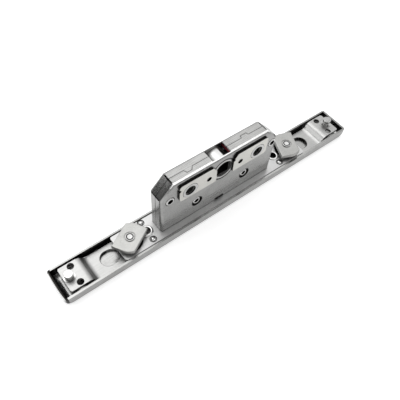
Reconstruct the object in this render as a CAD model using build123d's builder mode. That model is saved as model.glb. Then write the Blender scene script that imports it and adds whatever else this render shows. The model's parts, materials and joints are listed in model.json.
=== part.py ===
from build123d import *
import math
import os

# Sliding window lock: X runs along the faceplate, +Y points to the back of the case, +Z points up.
# The underside of the faceplate channel is z = 0 and the spindle axis crosses x = 0. All sizes in mm.

# Fits
slip = 0.05            # clearance of a fixed pin, sleeve or tab in its hole
run_fit = 0.08         # radial clearance of a turning shaft in its bearing
play = 0.3             # gap between pieces that move past each other
seam_gap = 0.28        # gap between the two case halves

# Faceplate channel
channel_length = 191.5
channel_width = 19.2
channel_height = 6.4
channel_sheet = 1.2
channel_end_r = 4.0
channel_bend_r = 1.6
channel_inner_half = channel_width / 2 - channel_sheet

# Slide bars
bar_sheet = 1.6
bar_low_z = 1.4
bar_high_z = 5.3
bar_end_gap = 3.55
bar_end_x = channel_length / 2 - channel_sheet - bar_end_gap
bar_jog_high_share = 0.41671
bar_jog_low_share = 0.40052
bar_wide_end_share = 0.31332
bar_jog_high_x = channel_length * bar_jog_high_share
bar_jog_low_x = channel_length * bar_jog_low_share
bar_wide_end_x = channel_length * bar_wide_end_share
bar_side_gap = 1.2
bar_wide_half = channel_inner_half - bar_side_gap
bar_corner_r = 1.0
bar_window_share = 0.37232
bar_window_in_share = 0.31854
bar_slot_in_share = 0.20888
bar_window_x = channel_length * bar_window_share
bar_window_in_x = channel_length * bar_window_in_share
bar_slot_in_x = channel_length * bar_slot_in_share
bar_window_half_share = 0.4369
bar_window_half = (bar_window_x - bar_window_in_x) * bar_window_half_share
bar_slot_half = 2.8
left_tongue_x = 3.5
bar_travel = 11.0
rod_hole_from_end = 6.15
rod_hole_x = bar_end_x - rod_hole_from_end
rod_hole_from_side = 2.25
rod_hole_y = bar_wide_half - rod_hole_from_side
rod_hole_r = 1.8

# End studs
stud_from_end = 3.0
stud_x = bar_end_x - stud_from_end
stud_neck_r = 1.5
stud_collar_r = 2.9
stud_collar_h = 0.5
stud_head_r = 2.35
stud_head_h = 1.5
stud_top_z = 10.9
stud_edge = 0.3

# Bridge plate that carries the case
bridge_low_z = 5.8
bridge_sheet = 1.2
bridge_share = 0.3201
bridge_half_length = channel_length * bridge_share
bridge_half_width = channel_inner_half - play
bridge_front_fit = 0.05
bridge_centre_y = bridge_front_fit - play
bridge_corner_r = 1.5
bridge_top_z = bridge_low_z + bridge_sheet

# Rivets and fixing bushes of the bridge plate
rivet_share = 0.2282
rivet_x = channel_length * rivet_share
rivet_from_edge = 2.3
rivet_y = bridge_half_width - rivet_from_edge
rivet_shoulder_r = 1.3
bar_tongue_half = rivet_y - rivet_shoulder_r - play
rivet_shank_r = 0.8
rivet_head_r = 1.35
rivet_head_h = 0.6
rivet_recess_r = 1.85
rivet_recess_h = 0.35
bush_sleeve_r = 2.4
bush_bore_r = 1.8
bush_collar_r = 3.4
bush_collar_h = 0.5

# Turning clamp plates
clamp_share = 0.28042
clamp_x = channel_length * clamp_share
clamp_half_u = 8.4
clamp_half_v = 5.9
clamp_arc_r = 8.5
clamp_low_z = 8.9
clamp_sheet = 2.0
clamp_edge = 0.45
clamp_recess_r = 3.0
clamp_recess_h = 0.3
left_clamp_angle = 30.0
right_clamp_angle = 67.7
screw_shank_r = 2.4
screw_neck_r = 1.8
screw_low_z = 0.1
screw_flange_r = 3.4
screw_flange_low_z = 3.4
screw_flange_h = 2.2
screw_cap_r = 2.4
screw_cap_h = 0.4
screw_groove_in_r = 1.4
screw_groove_out_r = 1.9
screw_groove_h = 0.35
screw_hex_r = 1.5
screw_hex_depth = 2.0
washer_r = 3.6

# Gear case made of two shells
case_sheet = 1.0
case_front_y = -5.05
case_back_y = 4.4
case_seam_y = -0.4
case_left_share = 0.19948
case_right_share = 0.18694
case_left_x = -channel_length * case_left_share
case_right_x = channel_length * case_right_share
case_chamfer_run = 7.5
case_chamfer_drop = 7.9
case_top_left_x = case_left_x + case_chamfer_run
case_top_right_x = case_right_x - case_chamfer_run
case_top_z = 41.5
case_chamfer_z = case_top_z - case_chamfer_drop
case_bend_r = 1.6
flap_slit = 0.8
opening_left_x = -7.0
opening_right_x = 4.4
foot_from_end = 9.8
foot_x = case_right_x - foot_from_end
foot_length = 6.0
base_notch_left_x = -3.3
base_notch_right_x = 2.4
base_notch_h = 1.1
case_mid_y = (case_front_y + case_back_y) / 2

# Interlocking tabs of the top seam: outer root, outer tip, inner tip, inner root and depth
left_tab = (-21.8, -20.9, -18.4, -16.6)
left_tab_depth = 1.7
right_tab = (14.0, 14.5, 17.9, 18.3)
right_tab_depth = 1.3

# Case rivets, dimples and guide sleeves
small_rivet_from_end = 3.0
small_rivet_x = case_right_x - small_rivet_from_end
small_rivet_r = 1.6
small_rivet_bore_r = 1.3
small_rivet_head_r = 2.4
small_rivet_head_h = 0.4
guide_x = 15.8
guide_rivet_r = 1.15
guide_rivet_bore_r = 0.75
guide_head_r = 2.3
guide_head_h = 0.6
guide_mouth_r = 1.5
guide_mouth_h = 0.4
guide_sleeve_r = 1.5
dimple_r = 3.9
dimple_floor_r = 3.2
dimple_depth = 0.9

# Spindle hub
spindle_from_top = 9.9
spindle_z = case_top_z - spindle_from_top
small_rivet_below_spindle = 1.2
small_rivet_z = spindle_z - small_rivet_below_spindle
spindle_square = 7.0
hub_journal_r = 7.1
hub_collar_r = 6.3
hub_collar_h = 0.6
hub_recess_r = 5.2
hub_recess_h = 0.8
hub_barrel_r = 8.0
hub_barrel_play = 0.15
barrel_from = 85.0
barrel_to = 190.0

# Gearing
module = 1.0
gear_half = 1.8
hub_gear_half = 2.1
pressure_angle = 25.0
addendum = 0.8 * module
dedendum = 1.0 * module
backlash = 0.16
hub_teeth = 14
hub_first_tooth = -1
hub_last_tooth = 4
idler_teeth = 10
idler_bore_r = 1.58
idler_pin_r = 1.5
idler_boss_r = 3.0
hub_pitch_r = hub_teeth * module / 2
idler_pitch_r = idler_teeth * module / 2
pitch = math.pi * module
upper_line_z = spindle_z - hub_pitch_r
bar_top = bar_low_z + bar_sheet
rack_depth_share = 0.4569
free_height = upper_line_z - 2 * idler_pitch_r - bar_top
middle_line_z = upper_line_z - free_height * rack_depth_share
idler_z = middle_line_z - idler_pitch_r
lower_line_z = idler_z - idler_pitch_r
guide_below_line = 2.7
guide_z = middle_line_z - guide_below_line
rack_teeth = 6
rack_left_x = -18.0
rack_end_gap = 1.8
rack_right_x = case_right_x - case_sheet - rack_end_gap
rack_guide_gap = 0.1
leg_length = 4.0
leg_left_x = rack_right_x - leg_length
tongue_overhang = 2.0
right_tongue_x = leg_left_x - tongue_overhang
rack_margin = 1.4
rack_relief_x = 4.8
tenon_half = 0.9
leg_tenon_length = 2.4
foot_tenon_length = 8.0

# Handle plates, threaded bushes and stop pad
plate_front_y = -6.25
plate_inner_x = 5.4
plate_outer_x = 28.0
handle_screw_above_spindle = 0.3
handle_screw_z = spindle_z + handle_screw_above_spindle
plate_below_screw = 4.9
plate_above_screw = 6.9
plate_low_z = handle_screw_z - plate_below_screw
plate_top_z = handle_screw_z + plate_above_screw
plate_corner_r = 1.8
plate_cut_x = 2.4
plate_cut_z = 3.4
plate_nick_r = 0.9
plate_nick_above_screw = 3.5
plate_nick_z = handle_screw_z + plate_nick_above_screw
handle_screw_x = 21.5
sleeve_r = 3.7
sleeve_bore_r = 3.0
sleeve_collar_r = 4.4
sleeve_collar_h = 0.5
sleeve_collar_gap = 0.15
pin_hole_x = 10.0
pin_hole_r = 1.5
pad_left_x = 4.7
pad_right_x = 8.0
pad_h = 2.0


def at_y(y):
    # sketch plane facing the front, at depth y; extrusions grow towards the front
    return Plane.XZ.offset(-y)


def save(builder, name):
    builder.part.label = name
    export_step(builder.part, "parts/" + name + ".step")


def mirrored(points, side):
    # side = 1 keeps the points, side = -1 mirrors them in x = 0
    return [(side * x, y) for x, y in points]


def involute(angle):
    return math.tan(angle) - angle


def tooth_points(pitch_r, centre_deg):
    # one involute tooth as a closed outline about the gear centre
    alpha = math.radians(pressure_angle)
    base_r = pitch_r * math.cos(alpha)
    root_r = pitch_r - dedendum
    tip_r = pitch_r + addendum
    start_r = max(base_r, root_r)
    half = (pitch - backlash) / 4 / pitch_r + involute(alpha)
    steps = 5
    flank = [(root_r - dedendum / 4, half - involute(math.acos(base_r / start_r)))]
    for i in range(steps + 1):
        r = start_r + (tip_r - start_r) * i / steps
        flank.append((r, half - involute(math.acos(base_r / r))))
    mid = math.radians(centre_deg)
    rising = [(r * math.cos(mid - a), r * math.sin(mid - a)) for r, a in flank]
    falling = [(r * math.cos(mid + a), r * math.sin(mid + a)) for r, a in reversed(flank)]
    return rising + falling


def rack_tooth(centre_x, line_z, up):
    # one straight-sided rack tooth; up = 1 points up, up = -1 points down
    slope = math.tan(math.radians(pressure_angle))
    half = (pitch - backlash) / 4
    root = half + dedendum * slope
    tip = half - addendum * slope
    low = line_z - up * dedendum
    high = line_z + up * addendum
    bed = low - up * dedendum / 4
    return [
        (centre_x - root, bed),
        (centre_x - root, low),
        (centre_x - tip, high),
        (centre_x + tip, high),
        (centre_x + root, low),
        (centre_x + root, bed),
    ]


def turned(points, centre_x, angle_deg):
    # turn points about (centre_x, 0) and move them there
    a = math.radians(angle_deg)
    return [
        (centre_x + u * math.cos(a) - v * math.sin(a), u * math.sin(a) + v * math.cos(a))
        for u, v in points
    ]


os.makedirs("parts", exist_ok=True)

# Faceplate channel: a pressed tray, made as an outer form minus the same form one sheet smaller
def tray(half_length, half_width, low_z, end_r, bend_r):
    with BuildPart() as form:
        with BuildSketch(at_y(half_width)):
            Polygon(
                (-half_length, low_z),
                (half_length, low_z),
                (half_length, channel_height),
                (-half_length, channel_height),
                align=None,
            )
        extrude(amount=2 * half_width)
        fillet(form.edges().group_by(Axis.Z)[0].filter_by(Axis.Y), end_r)
        for side_face in (form.faces().sort_by(Axis.Y)[0], form.faces().sort_by(Axis.Y)[-1]):
            fillet(side_face.edges().sort_by(Axis.Z)[:-1], bend_r)
    return form


tray_outside = tray(channel_length / 2, channel_width / 2, 0, channel_end_r, channel_bend_r)
tray_inside = tray(
    channel_length / 2 - channel_sheet,
    channel_inner_half,
    channel_sheet,
    channel_end_r - channel_sheet,
    channel_bend_r - channel_sheet,
)
with BuildPart() as channel:
    add(tray_outside.part)
    add(tray_inside.part, mode=Mode.SUBTRACT)
    with BuildSketch(Plane.XY):
        with Locations((-clamp_x, 0), (clamp_x, 0)):
            Circle(screw_shank_r + run_fit)
        with Locations((-rivet_x, 0), (rivet_x, 0)):
            Circle(bush_sleeve_r + slip)
        for sx in (-1, 1):
            with Locations((sx * rivet_x, -rivet_y), (sx * rivet_x, rivet_y)):
                Circle(rivet_shank_r + slip)
    extrude(amount=channel_sheet, mode=Mode.SUBTRACT)
save(channel, "channel")

# Bridge plate with slots for the rack foot, the rack leg and the feet of the case
rack_y0 = case_mid_y - gear_half
rack_y1 = case_mid_y + gear_half
rack_half_span = rack_teeth * pitch - pitch / 2 + rack_margin
lower_rack_left_x = -rack_half_span + pitch
lower_rack_right_x = pitch / 2 + rack_margin
with BuildPart() as bridge_plate:
    with BuildSketch(Plane.XY.offset(bridge_low_z)):
        with Locations((0, bridge_centre_y)):
            RectangleRounded(2 * bridge_half_length, 2 * bridge_half_width, bridge_corner_r)
        with Locations((-clamp_x, 0), (clamp_x, 0)):
            Circle(screw_shank_r + run_fit, mode=Mode.SUBTRACT)
        with Locations((-rivet_x, 0), (rivet_x, 0)):
            Circle(bush_sleeve_r + slip, mode=Mode.SUBTRACT)
        for sx in (-1, 1):
            with Locations((sx * rivet_x, -rivet_y), (sx * rivet_x, rivet_y)):
                Circle(rivet_shank_r + slip, mode=Mode.SUBTRACT)
        foot_from = lower_rack_left_x - play
        foot_to = lower_rack_right_x + bar_travel + play
        with Locations(((foot_from + foot_to) / 2, case_mid_y)):
            Rectangle(foot_to - foot_from, 2 * (gear_half + play), mode=Mode.SUBTRACT)
        leg_from = leg_left_x - bar_travel - play
        leg_to = rack_right_x + play
        with Locations(((leg_from + leg_to) / 2, case_mid_y)):
            Rectangle(leg_to - leg_from, 2 * (gear_half + play), mode=Mode.SUBTRACT)
        for foot_y in (case_front_y + case_sheet / 2, case_back_y - case_sheet / 2):
            with Locations((-foot_x, foot_y), (foot_x, foot_y)):
                Rectangle(foot_length + 2 * slip, case_sheet + 2 * slip, mode=Mode.SUBTRACT)
    extrude(amount=bridge_sheet)
    # shallow seats round the rivet heads
    with BuildSketch(Plane.XY.offset(bridge_top_z - rivet_recess_h)):
        with Locations(*[(sx * rivet_x, sy * rivet_y) for sx in (-1, 1) for sy in (-1, 1)]):
            Circle(rivet_recess_r)
    extrude(amount=rivet_recess_h, mode=Mode.SUBTRACT)
save(bridge_plate, "bridge_plate")

# Four shouldered rivets that hold the bridge plate above the channel floor
with BuildPart() as bridge_rivets:
    for sx in (-1, 1):
        for sy in (-1, 1):
            with BuildSketch(Plane.XY):
                with Locations((sx * rivet_x, sy * rivet_y)):
                    Circle(rivet_shank_r)
            extrude(amount=bridge_top_z)
            with BuildSketch(Plane.XY.offset(channel_sheet)):
                with Locations((sx * rivet_x, sy * rivet_y)):
                    Circle(rivet_shoulder_r)
            extrude(amount=bridge_low_z - channel_sheet)
            with BuildSketch(Plane.XY.offset(bridge_top_z - rivet_recess_h)):
                with Locations((sx * rivet_x, sy * rivet_y)):
                    Circle(rivet_head_r)
            extrude(amount=rivet_recess_h + rivet_head_h)
    heads = bridge_rivets.edges().group_by(Axis.Z)[-1]
    fillet(heads, rivet_head_h * 0.8)
save(bridge_rivets, "bridge_rivets")

# Two eyelets for the screws that fix the lock to the window
with BuildPart() as fixing_bushes:
    with BuildSketch(Plane.XY):
        with Locations((-rivet_x, 0), (rivet_x, 0)):
            Circle(bush_sleeve_r)
    extrude(amount=bridge_top_z)
    with BuildSketch(Plane.XY.offset(bridge_top_z)):
        with Locations((-rivet_x, 0), (rivet_x, 0)):
            Circle(bush_collar_r)
    extrude(amount=bush_collar_h)
    collar_edges = fixing_bushes.edges().group_by(Axis.Z)[-1]
    fillet(collar_edges, bush_collar_h / 2)
    with BuildSketch(Plane.XY):
        with Locations((-rivet_x, 0), (rivet_x, 0)):
            Circle(bush_bore_r)
    extrude(amount=bridge_top_z + bush_collar_h, mode=Mode.SUBTRACT)
save(fixing_bushes, "fixing_bushes")


# Slide bars: flat tongue with a long slot, a wide body and a raised end
def slide_bar(side, tongue_x, tenon_x, tenon_length):
    # side = -1 is the left bar, side = 1 the right one; x values are given for that side
    low = bar_low_z
    high = bar_high_z
    profile = [
        (tongue_x, low),
        (side * bar_jog_low_x, low),
        (side * bar_jog_high_x, high),
        (side * bar_end_x, high),
        (side * bar_end_x, high + bar_sheet),
        (side * bar_jog_high_x, high + bar_sheet),
        (side * bar_jog_low_x, low + bar_sheet),
        (tongue_x, low + bar_sheet),
    ]
    with BuildPart() as bar:
        with BuildSketch(at_y(bar_wide_half)):
            Polygon(*profile, align=None)
        extrude(amount=2 * bar_wide_half)
        corners = bar.edges().filter_by(Axis.Z).group_by(Axis.X)
        fillet(corners[0 if side < 0 else -1], bar_corner_r)
        side_from = min(side * bar_wide_end_x, tongue_x)
        side_to = max(side * bar_wide_end_x, tongue_x)
        strip = bar_wide_half - bar_tongue_half
        strip_y = (bar_wide_half + bar_tongue_half) / 2
        with BuildSketch(Plane.XY.offset(low)):
            with Locations(((side_from + side_to) / 2, strip_y), ((side_from + side_to) / 2, -strip_y)):
                Rectangle(side_to - side_from, strip)
            with Locations((side * (bar_window_x + bar_window_in_x) / 2, 0)):
                SlotOverall(bar_window_x - bar_window_in_x, 2 * bar_window_half)
            slot_from = bar_slot_in_x
            slot_to = bar_window_x - bar_window_half
            with Locations((side * (slot_from + slot_to) / 2, 0)):
                SlotOverall(slot_to - slot_from, 2 * bar_slot_half)
            with Locations((tenon_x, case_mid_y)):
                Rectangle(tenon_length + 2 * slip, 2 * (tenon_half + slip))
        extrude(amount=bar_sheet, mode=Mode.SUBTRACT)
        with BuildSketch(Plane.XY.offset(high)):
            with Locations((side * rod_hole_x, rod_hole_y), (side * rod_hole_x, -rod_hole_y)):
                Circle(rod_hole_r)
            with Locations((side * stud_x, 0)):
                Circle(stud_neck_r + slip)
        extrude(amount=bar_sheet, mode=Mode.SUBTRACT)
    return bar


foot_tenon_x = (lower_rack_left_x + lower_rack_right_x) / 2
leg_tenon_x = (leg_left_x + rack_right_x) / 2
left_slide_bar = slide_bar(-1, left_tongue_x, foot_tenon_x, foot_tenon_length)
save(left_slide_bar, "left_slide_bar")
right_slide_bar = slide_bar(1, right_tongue_x, leg_tenon_x, leg_tenon_length)
save(right_slide_bar, "right_slide_bar")


# End studs, riveted into the raised ends of the slide bars
def end_stud(side):
    raised_top = bar_high_z + bar_sheet
    with BuildPart() as stud:
        with BuildSketch(Plane.XY.offset(bar_high_z)):
            with Locations((side * stud_x, 0)):
                Circle(stud_neck_r)
        extrude(amount=stud_top_z - bar_high_z)
        with BuildSketch(Plane.XY.offset(raised_top)):
            with Locations((side * stud_x, 0)):
                Circle(stud_collar_r)
        extrude(amount=stud_collar_h)
        with BuildSketch(Plane.XY.offset(stud_top_z - stud_head_h)):
            with Locations((side * stud_x, 0)):
                Circle(stud_head_r)
        extrude(amount=stud_head_h)
        fillet(stud.edges().group_by(Axis.Z)[-1], stud_edge)
    return stud


for stud_side, stud_name in ((-1, "left_end_stud"), (1, "right_end_stud")):
    save(end_stud(stud_side), stud_name)


# Clamp plates: rectangles with two opposite corners rounded about the pivot
def clamp_plate(centre_x, angle):
    u = clamp_half_u
    v = clamp_half_v
    r = clamp_arc_r
    cut_v = math.sqrt(r * r - u * u)
    cut_u = math.sqrt(r * r - v * v)
    mid = (math.atan2(cut_v, u) + math.atan2(v, cut_u)) / 2
    mid_u = r * math.cos(mid)
    mid_v = r * math.sin(mid)
    points = [(-u, v), (-u, -cut_v), (-mid_u, -mid_v), (-cut_u, -v)]
    points += [(u, -v), (u, cut_v), (mid_u, mid_v), (cut_u, v)]
    p = turned(points, centre_x, angle)
    with BuildPart() as plate:
        with BuildSketch(Plane.XY.offset(clamp_low_z)):
            with BuildLine():
                Line(p[0], p[1])
                ThreePointArc(p[1], p[2], p[3])
                Line(p[3], p[4])
                Line(p[4], p[5])
                ThreePointArc(p[5], p[6], p[7])
                Line(p[7], p[0])
            make_face()
        extrude(amount=clamp_sheet)
        fillet(plate.edges().group_by(Axis.Z)[-1], clamp_edge)
        with BuildSketch(Plane.XY.offset(clamp_low_z)):
            with Locations((centre_x, 0)):
                Circle(screw_neck_r + slip)
        extrude(amount=clamp_sheet, mode=Mode.SUBTRACT)
        # shallow seat for the peened head of the screw
        with BuildSketch(Plane.XY.offset(clamp_low_z + clamp_sheet - clamp_recess_h)):
            with Locations((centre_x, 0)):
                Circle(clamp_recess_r)
        extrude(amount=clamp_recess_h, mode=Mode.SUBTRACT)
    return plate


# Clamp screws: driven from the outer face, held under the bridge plate, peened over the clamp plate
def clamp_screw(centre_x):
    with BuildPart() as screw:
        with BuildSketch(Plane.XY.offset(screw_low_z)):
            with Locations((centre_x, 0)):
                Circle(screw_shank_r)
        extrude(amount=clamp_low_z - screw_low_z)
        with BuildSketch(Plane.XY.offset(screw_flange_low_z)):
            with Locations((centre_x, 0)):
                Circle(screw_flange_r)
        extrude(amount=screw_flange_h)
        with BuildSketch(Plane.XY.offset(clamp_low_z)):
            with Locations((centre_x, 0)):
                Circle(screw_neck_r)
        extrude(amount=clamp_sheet)
        with BuildSketch(Plane.XY.offset(clamp_low_z + clamp_sheet - clamp_recess_h)):
            with Locations((centre_x, 0)):
                Circle(screw_cap_r)
        extrude(amount=clamp_recess_h + screw_cap_h)
        fillet(screw.edges().group_by(Axis.Z)[-1], screw_cap_h * 0.75)
        # ring left by the peening tool round a plain centre
        with BuildSketch(Plane.XY.offset(clamp_low_z + clamp_sheet + screw_cap_h - screw_groove_h)):
            with Locations((centre_x, 0)):
                Circle(screw_groove_out_r)
                Circle(screw_groove_in_r, mode=Mode.SUBTRACT)
        extrude(amount=screw_groove_h, mode=Mode.SUBTRACT)
        with BuildSketch(Plane.XY.offset(screw_low_z)):
            with Locations((centre_x, 0)):
                RegularPolygon(screw_hex_r, 6, major_radius=False)
        extrude(amount=screw_hex_depth, mode=Mode.SUBTRACT)
    return screw


# Washers between the bridge plate and the clamp plates
def clamp_washer(centre_x):
    with BuildPart() as washer:
        with BuildSketch(Plane.XY.offset(bridge_top_z)):
            with Locations((centre_x, 0)):
                Circle(washer_r)
                Circle(screw_shank_r + run_fit, mode=Mode.SUBTRACT)
        extrude(amount=clamp_low_z - bridge_top_z)
    return washer


for side_name, side_x, side_angle in (
    ("left", -clamp_x, left_clamp_angle),
    ("right", clamp_x, right_clamp_angle),
):
    save(clamp_plate(side_x, side_angle), side_name + "_clamp_plate")
    save(clamp_screw(side_x), side_name + "_clamp_screw")
    save(clamp_washer(side_x), side_name + "_clamp_washer")

# Outline of the gear case seen from the front, and the same outline one sheet further in
corner_run = case_sheet * math.tan(math.radians(22.5))
case_outline = [
    (case_left_x, bridge_top_z),
    (case_left_x, case_chamfer_z),
    (case_top_left_x, case_top_z),
    (case_top_right_x, case_top_z),
    (case_right_x, case_chamfer_z),
    (case_right_x, bridge_top_z),
]
case_inside = [
    (case_left_x + case_sheet, bridge_top_z),
    (case_left_x + case_sheet, case_chamfer_z - corner_run),
    (case_top_left_x + corner_run, case_top_z - case_sheet),
    (case_top_right_x - corner_run, case_top_z - case_sheet),
    (case_right_x - case_sheet, case_chamfer_z - corner_run),
    (case_right_x - case_sheet, bridge_top_z),
]
bend_corners = (
    (case_left_x, case_chamfer_z, 157.5),
    (case_top_left_x, case_top_z, 112.5),
    (case_top_right_x, case_top_z, 67.5),
    (case_right_x, case_chamfer_z, 22.5),
)


# Case shells: a flat cheek with flaps bent towards the seam at mid thickness
def case_shell(front):
    # the face is the cheek's outer side; into = 1 runs from the front cheek towards +Y
    face_y = case_front_y if front else case_back_y
    into = 1 if front else -1
    seam_y = case_seam_y - into * seam_gap / 2
    depth = abs(seam_y - face_y)
    inner_y = face_y + into * case_sheet
    back_of_outline = seam_y if front else face_y
    back_of_inside = seam_y if front else inner_y
    with BuildPart() as shell:
        with BuildSketch(at_y(back_of_outline)):
            Polygon(*case_outline, align=None)
        extrude(amount=depth)
        cheek = shell.faces().sort_by(Axis.Y)[0 if front else -1]
        rim = cheek.edges().sort_by(Axis.Z)[1:]
        fillet(rim, case_bend_r)
        with BuildSketch(at_y(back_of_inside)):
            Polygon(*case_inside, align=None)
        extrude(amount=depth - case_sheet, mode=Mode.SUBTRACT)
        # narrow slits where neighbouring flaps meet at the corners
        slit_y = face_y + into * case_bend_r
        for corner_x, corner_z, slit_angle in bend_corners:
            slit_back = seam_y if front else slit_y
            with BuildSketch(at_y(slit_back)):
                with Locations(Location((corner_x, corner_z, 0), (0, 0, slit_angle))):
                    Rectangle(4 * case_sheet, flap_slit)
            extrude(amount=depth - case_bend_r, mode=Mode.SUBTRACT)
        # opening in the top over the hub
        with BuildSketch(at_y(back_of_inside)):
            with Locations(((opening_left_x + opening_right_x) / 2, case_top_z - case_sheet / 2)):
                Rectangle(opening_right_x - opening_left_x, 2 * case_sheet)
        extrude(amount=depth - case_sheet, mode=Mode.SUBTRACT)
        # interlocking tabs in the top seam: the front shell gives way on the left and reaches over on the right
        flap_z = case_top_z - case_sheet
        for xs, tab_depth, towards_front in ((left_tab, left_tab_depth, 1), (right_tab, right_tab_depth, -1)):
            adds = (towards_front < 0) == front
            fit = 0 if adds else seam_gap
            tip_y = case_seam_y - towards_front * (tab_depth + (fit if not adds else 0))
            root_y = case_seam_y + towards_front * seam_gap
            with BuildSketch(Plane.XY.offset(flap_z)):
                Polygon(
                    (xs[0] - fit, root_y),
                    (xs[1] - fit, tip_y),
                    (xs[2] + fit, tip_y),
                    (xs[3] + fit, root_y),
                    align=None,
                )
            extrude(amount=case_sheet, mode=Mode.ADD if adds else Mode.SUBTRACT)
        # pressed dimples round the guide rivets and bosses for the idler pin
        boss_back = inner_y + (dimple_depth if front else 0)
        idler_boss_h = abs(inner_y - case_mid_y) - gear_half - play
        idler_back = inner_y + (idler_boss_h if front else 0)
        with BuildSketch(at_y(boss_back)):
            with Locations((-guide_x, guide_z), (guide_x, guide_z)):
                Circle(dimple_r)
        extrude(amount=dimple_depth)
        with BuildSketch(at_y(idler_back)):
            with Locations((0, idler_z)):
                Circle(idler_boss_r)
                Circle(idler_pin_r + slip, mode=Mode.SUBTRACT)
        extrude(amount=idler_boss_h)
        recess_back = face_y + (dimple_depth if front else 0)
        with BuildSketch(at_y(recess_back)):
            with Locations((-guide_x, guide_z), (guide_x, guide_z)):
                Circle(dimple_floor_r)
        extrude(amount=dimple_depth, mode=Mode.SUBTRACT)
        # holes through the cheek
        cheek_back = inner_y if front else face_y
        with BuildSketch(at_y(cheek_back)):
            with Locations((0, spindle_z)):
                Circle(hub_journal_r + run_fit)
            with Locations((-handle_screw_x, handle_screw_z), (handle_screw_x, handle_screw_z)):
                Circle(sleeve_r + slip)
            with Locations((-small_rivet_x, small_rivet_z), (small_rivet_x, small_rivet_z)):
                Circle(small_rivet_r + slip)
            if front:
                with Locations((-pin_hole_x, handle_screw_z), (pin_hole_x, handle_screw_z)):
                    Circle(pin_hole_r)
                notch_mid = (base_notch_left_x + base_notch_right_x) / 2
                with Locations((notch_mid, bridge_top_z + base_notch_h / 2)):
                    Rectangle(base_notch_right_x - base_notch_left_x, base_notch_h)
        extrude(amount=case_sheet, mode=Mode.SUBTRACT)
        post_back = (inner_y + dimple_depth) if front else face_y
        with BuildSketch(at_y(post_back)):
            with Locations((-guide_x, guide_z), (guide_x, guide_z)):
                Circle(guide_rivet_r + slip)
        extrude(amount=case_sheet + dimple_depth, mode=Mode.SUBTRACT)
        # feet that go down through the bridge plate
        with BuildSketch(Plane.XY.offset(bridge_low_z)):
            with Locations((-foot_x, (face_y + inner_y) / 2), (foot_x, (face_y + inner_y) / 2)):
                Rectangle(foot_length, case_sheet)
        extrude(amount=bridge_sheet)
    return shell


save(case_shell(True), "front_shell")
save(case_shell(False), "back_shell")

# Two small hollow rivets near the ends of the case
with BuildPart() as upper_case_rivets:
    with BuildSketch(at_y(case_back_y)):
        with Locations((-small_rivet_x, small_rivet_z), (small_rivet_x, small_rivet_z)):
            Circle(small_rivet_r)
    extrude(amount=case_back_y - case_front_y)
    for head_y in (case_back_y + small_rivet_head_h, case_front_y):
        with BuildSketch(at_y(head_y)):
            with Locations((-small_rivet_x, small_rivet_z), (small_rivet_x, small_rivet_z)):
                Circle(small_rivet_head_r)
        extrude(amount=small_rivet_head_h)
    outer_edges = upper_case_rivets.edges().group_by(Axis.Y)
    fillet(outer_edges[0] + outer_edges[-1], small_rivet_head_h / 2)
    with BuildSketch(at_y(case_back_y + small_rivet_head_h)):
        with Locations((-small_rivet_x, small_rivet_z), (small_rivet_x, small_rivet_z)):
            Circle(small_rivet_bore_r)
    extrude(amount=case_back_y - case_front_y + 2 * small_rivet_head_h, mode=Mode.SUBTRACT)
save(upper_case_rivets, "upper_case_rivets")

# Two hollow rivets in the dimples
dimple_front_y = case_front_y + dimple_depth
dimple_back_y = case_back_y - dimple_depth
with BuildPart() as lower_case_rivets:
    with BuildSketch(at_y(dimple_back_y)):
        with Locations((-guide_x, guide_z), (guide_x, guide_z)):
            Circle(guide_rivet_r)
    extrude(amount=dimple_back_y - dimple_front_y)
    for head_y in (dimple_back_y + guide_head_h, dimple_front_y):
        with BuildSketch(at_y(head_y)):
            with Locations((-guide_x, guide_z), (guide_x, guide_z)):
                Circle(guide_head_r)
        extrude(amount=guide_head_h)
    outer_edges = lower_case_rivets.edges().group_by(Axis.Y)
    fillet(outer_edges[0] + outer_edges[-1], guide_head_h / 2)
    with BuildSketch(at_y(dimple_back_y + guide_head_h)):
        with Locations((-guide_x, guide_z), (guide_x, guide_z)):
            Circle(guide_rivet_bore_r)
    extrude(amount=dimple_back_y - dimple_front_y + 2 * guide_head_h, mode=Mode.SUBTRACT)
    # flared mouths of the rolled ends
    for mouth_y in (dimple_back_y + guide_head_h, dimple_front_y - guide_head_h + guide_mouth_h):
        with BuildSketch(at_y(mouth_y)):
            with Locations((-guide_x, guide_z), (guide_x, guide_z)):
                Circle(guide_mouth_r)
        extrude(amount=guide_mouth_h, mode=Mode.SUBTRACT)
save(lower_case_rivets, "lower_case_rivets")

# Guide sleeves on those rivets: they keep the cheeks apart and carry the upper rack
sleeve_back_y = dimple_back_y - case_sheet
sleeve_front_y = dimple_front_y + case_sheet
with BuildPart() as guide_sleeves:
    with BuildSketch(at_y(sleeve_back_y)):
        with Locations((-guide_x, guide_z), (guide_x, guide_z)):
            Circle(guide_sleeve_r)
            Circle(guide_rivet_r + slip, mode=Mode.SUBTRACT)
    extrude(amount=sleeve_back_y - sleeve_front_y)
save(guide_sleeves, "guide_sleeves")

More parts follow.
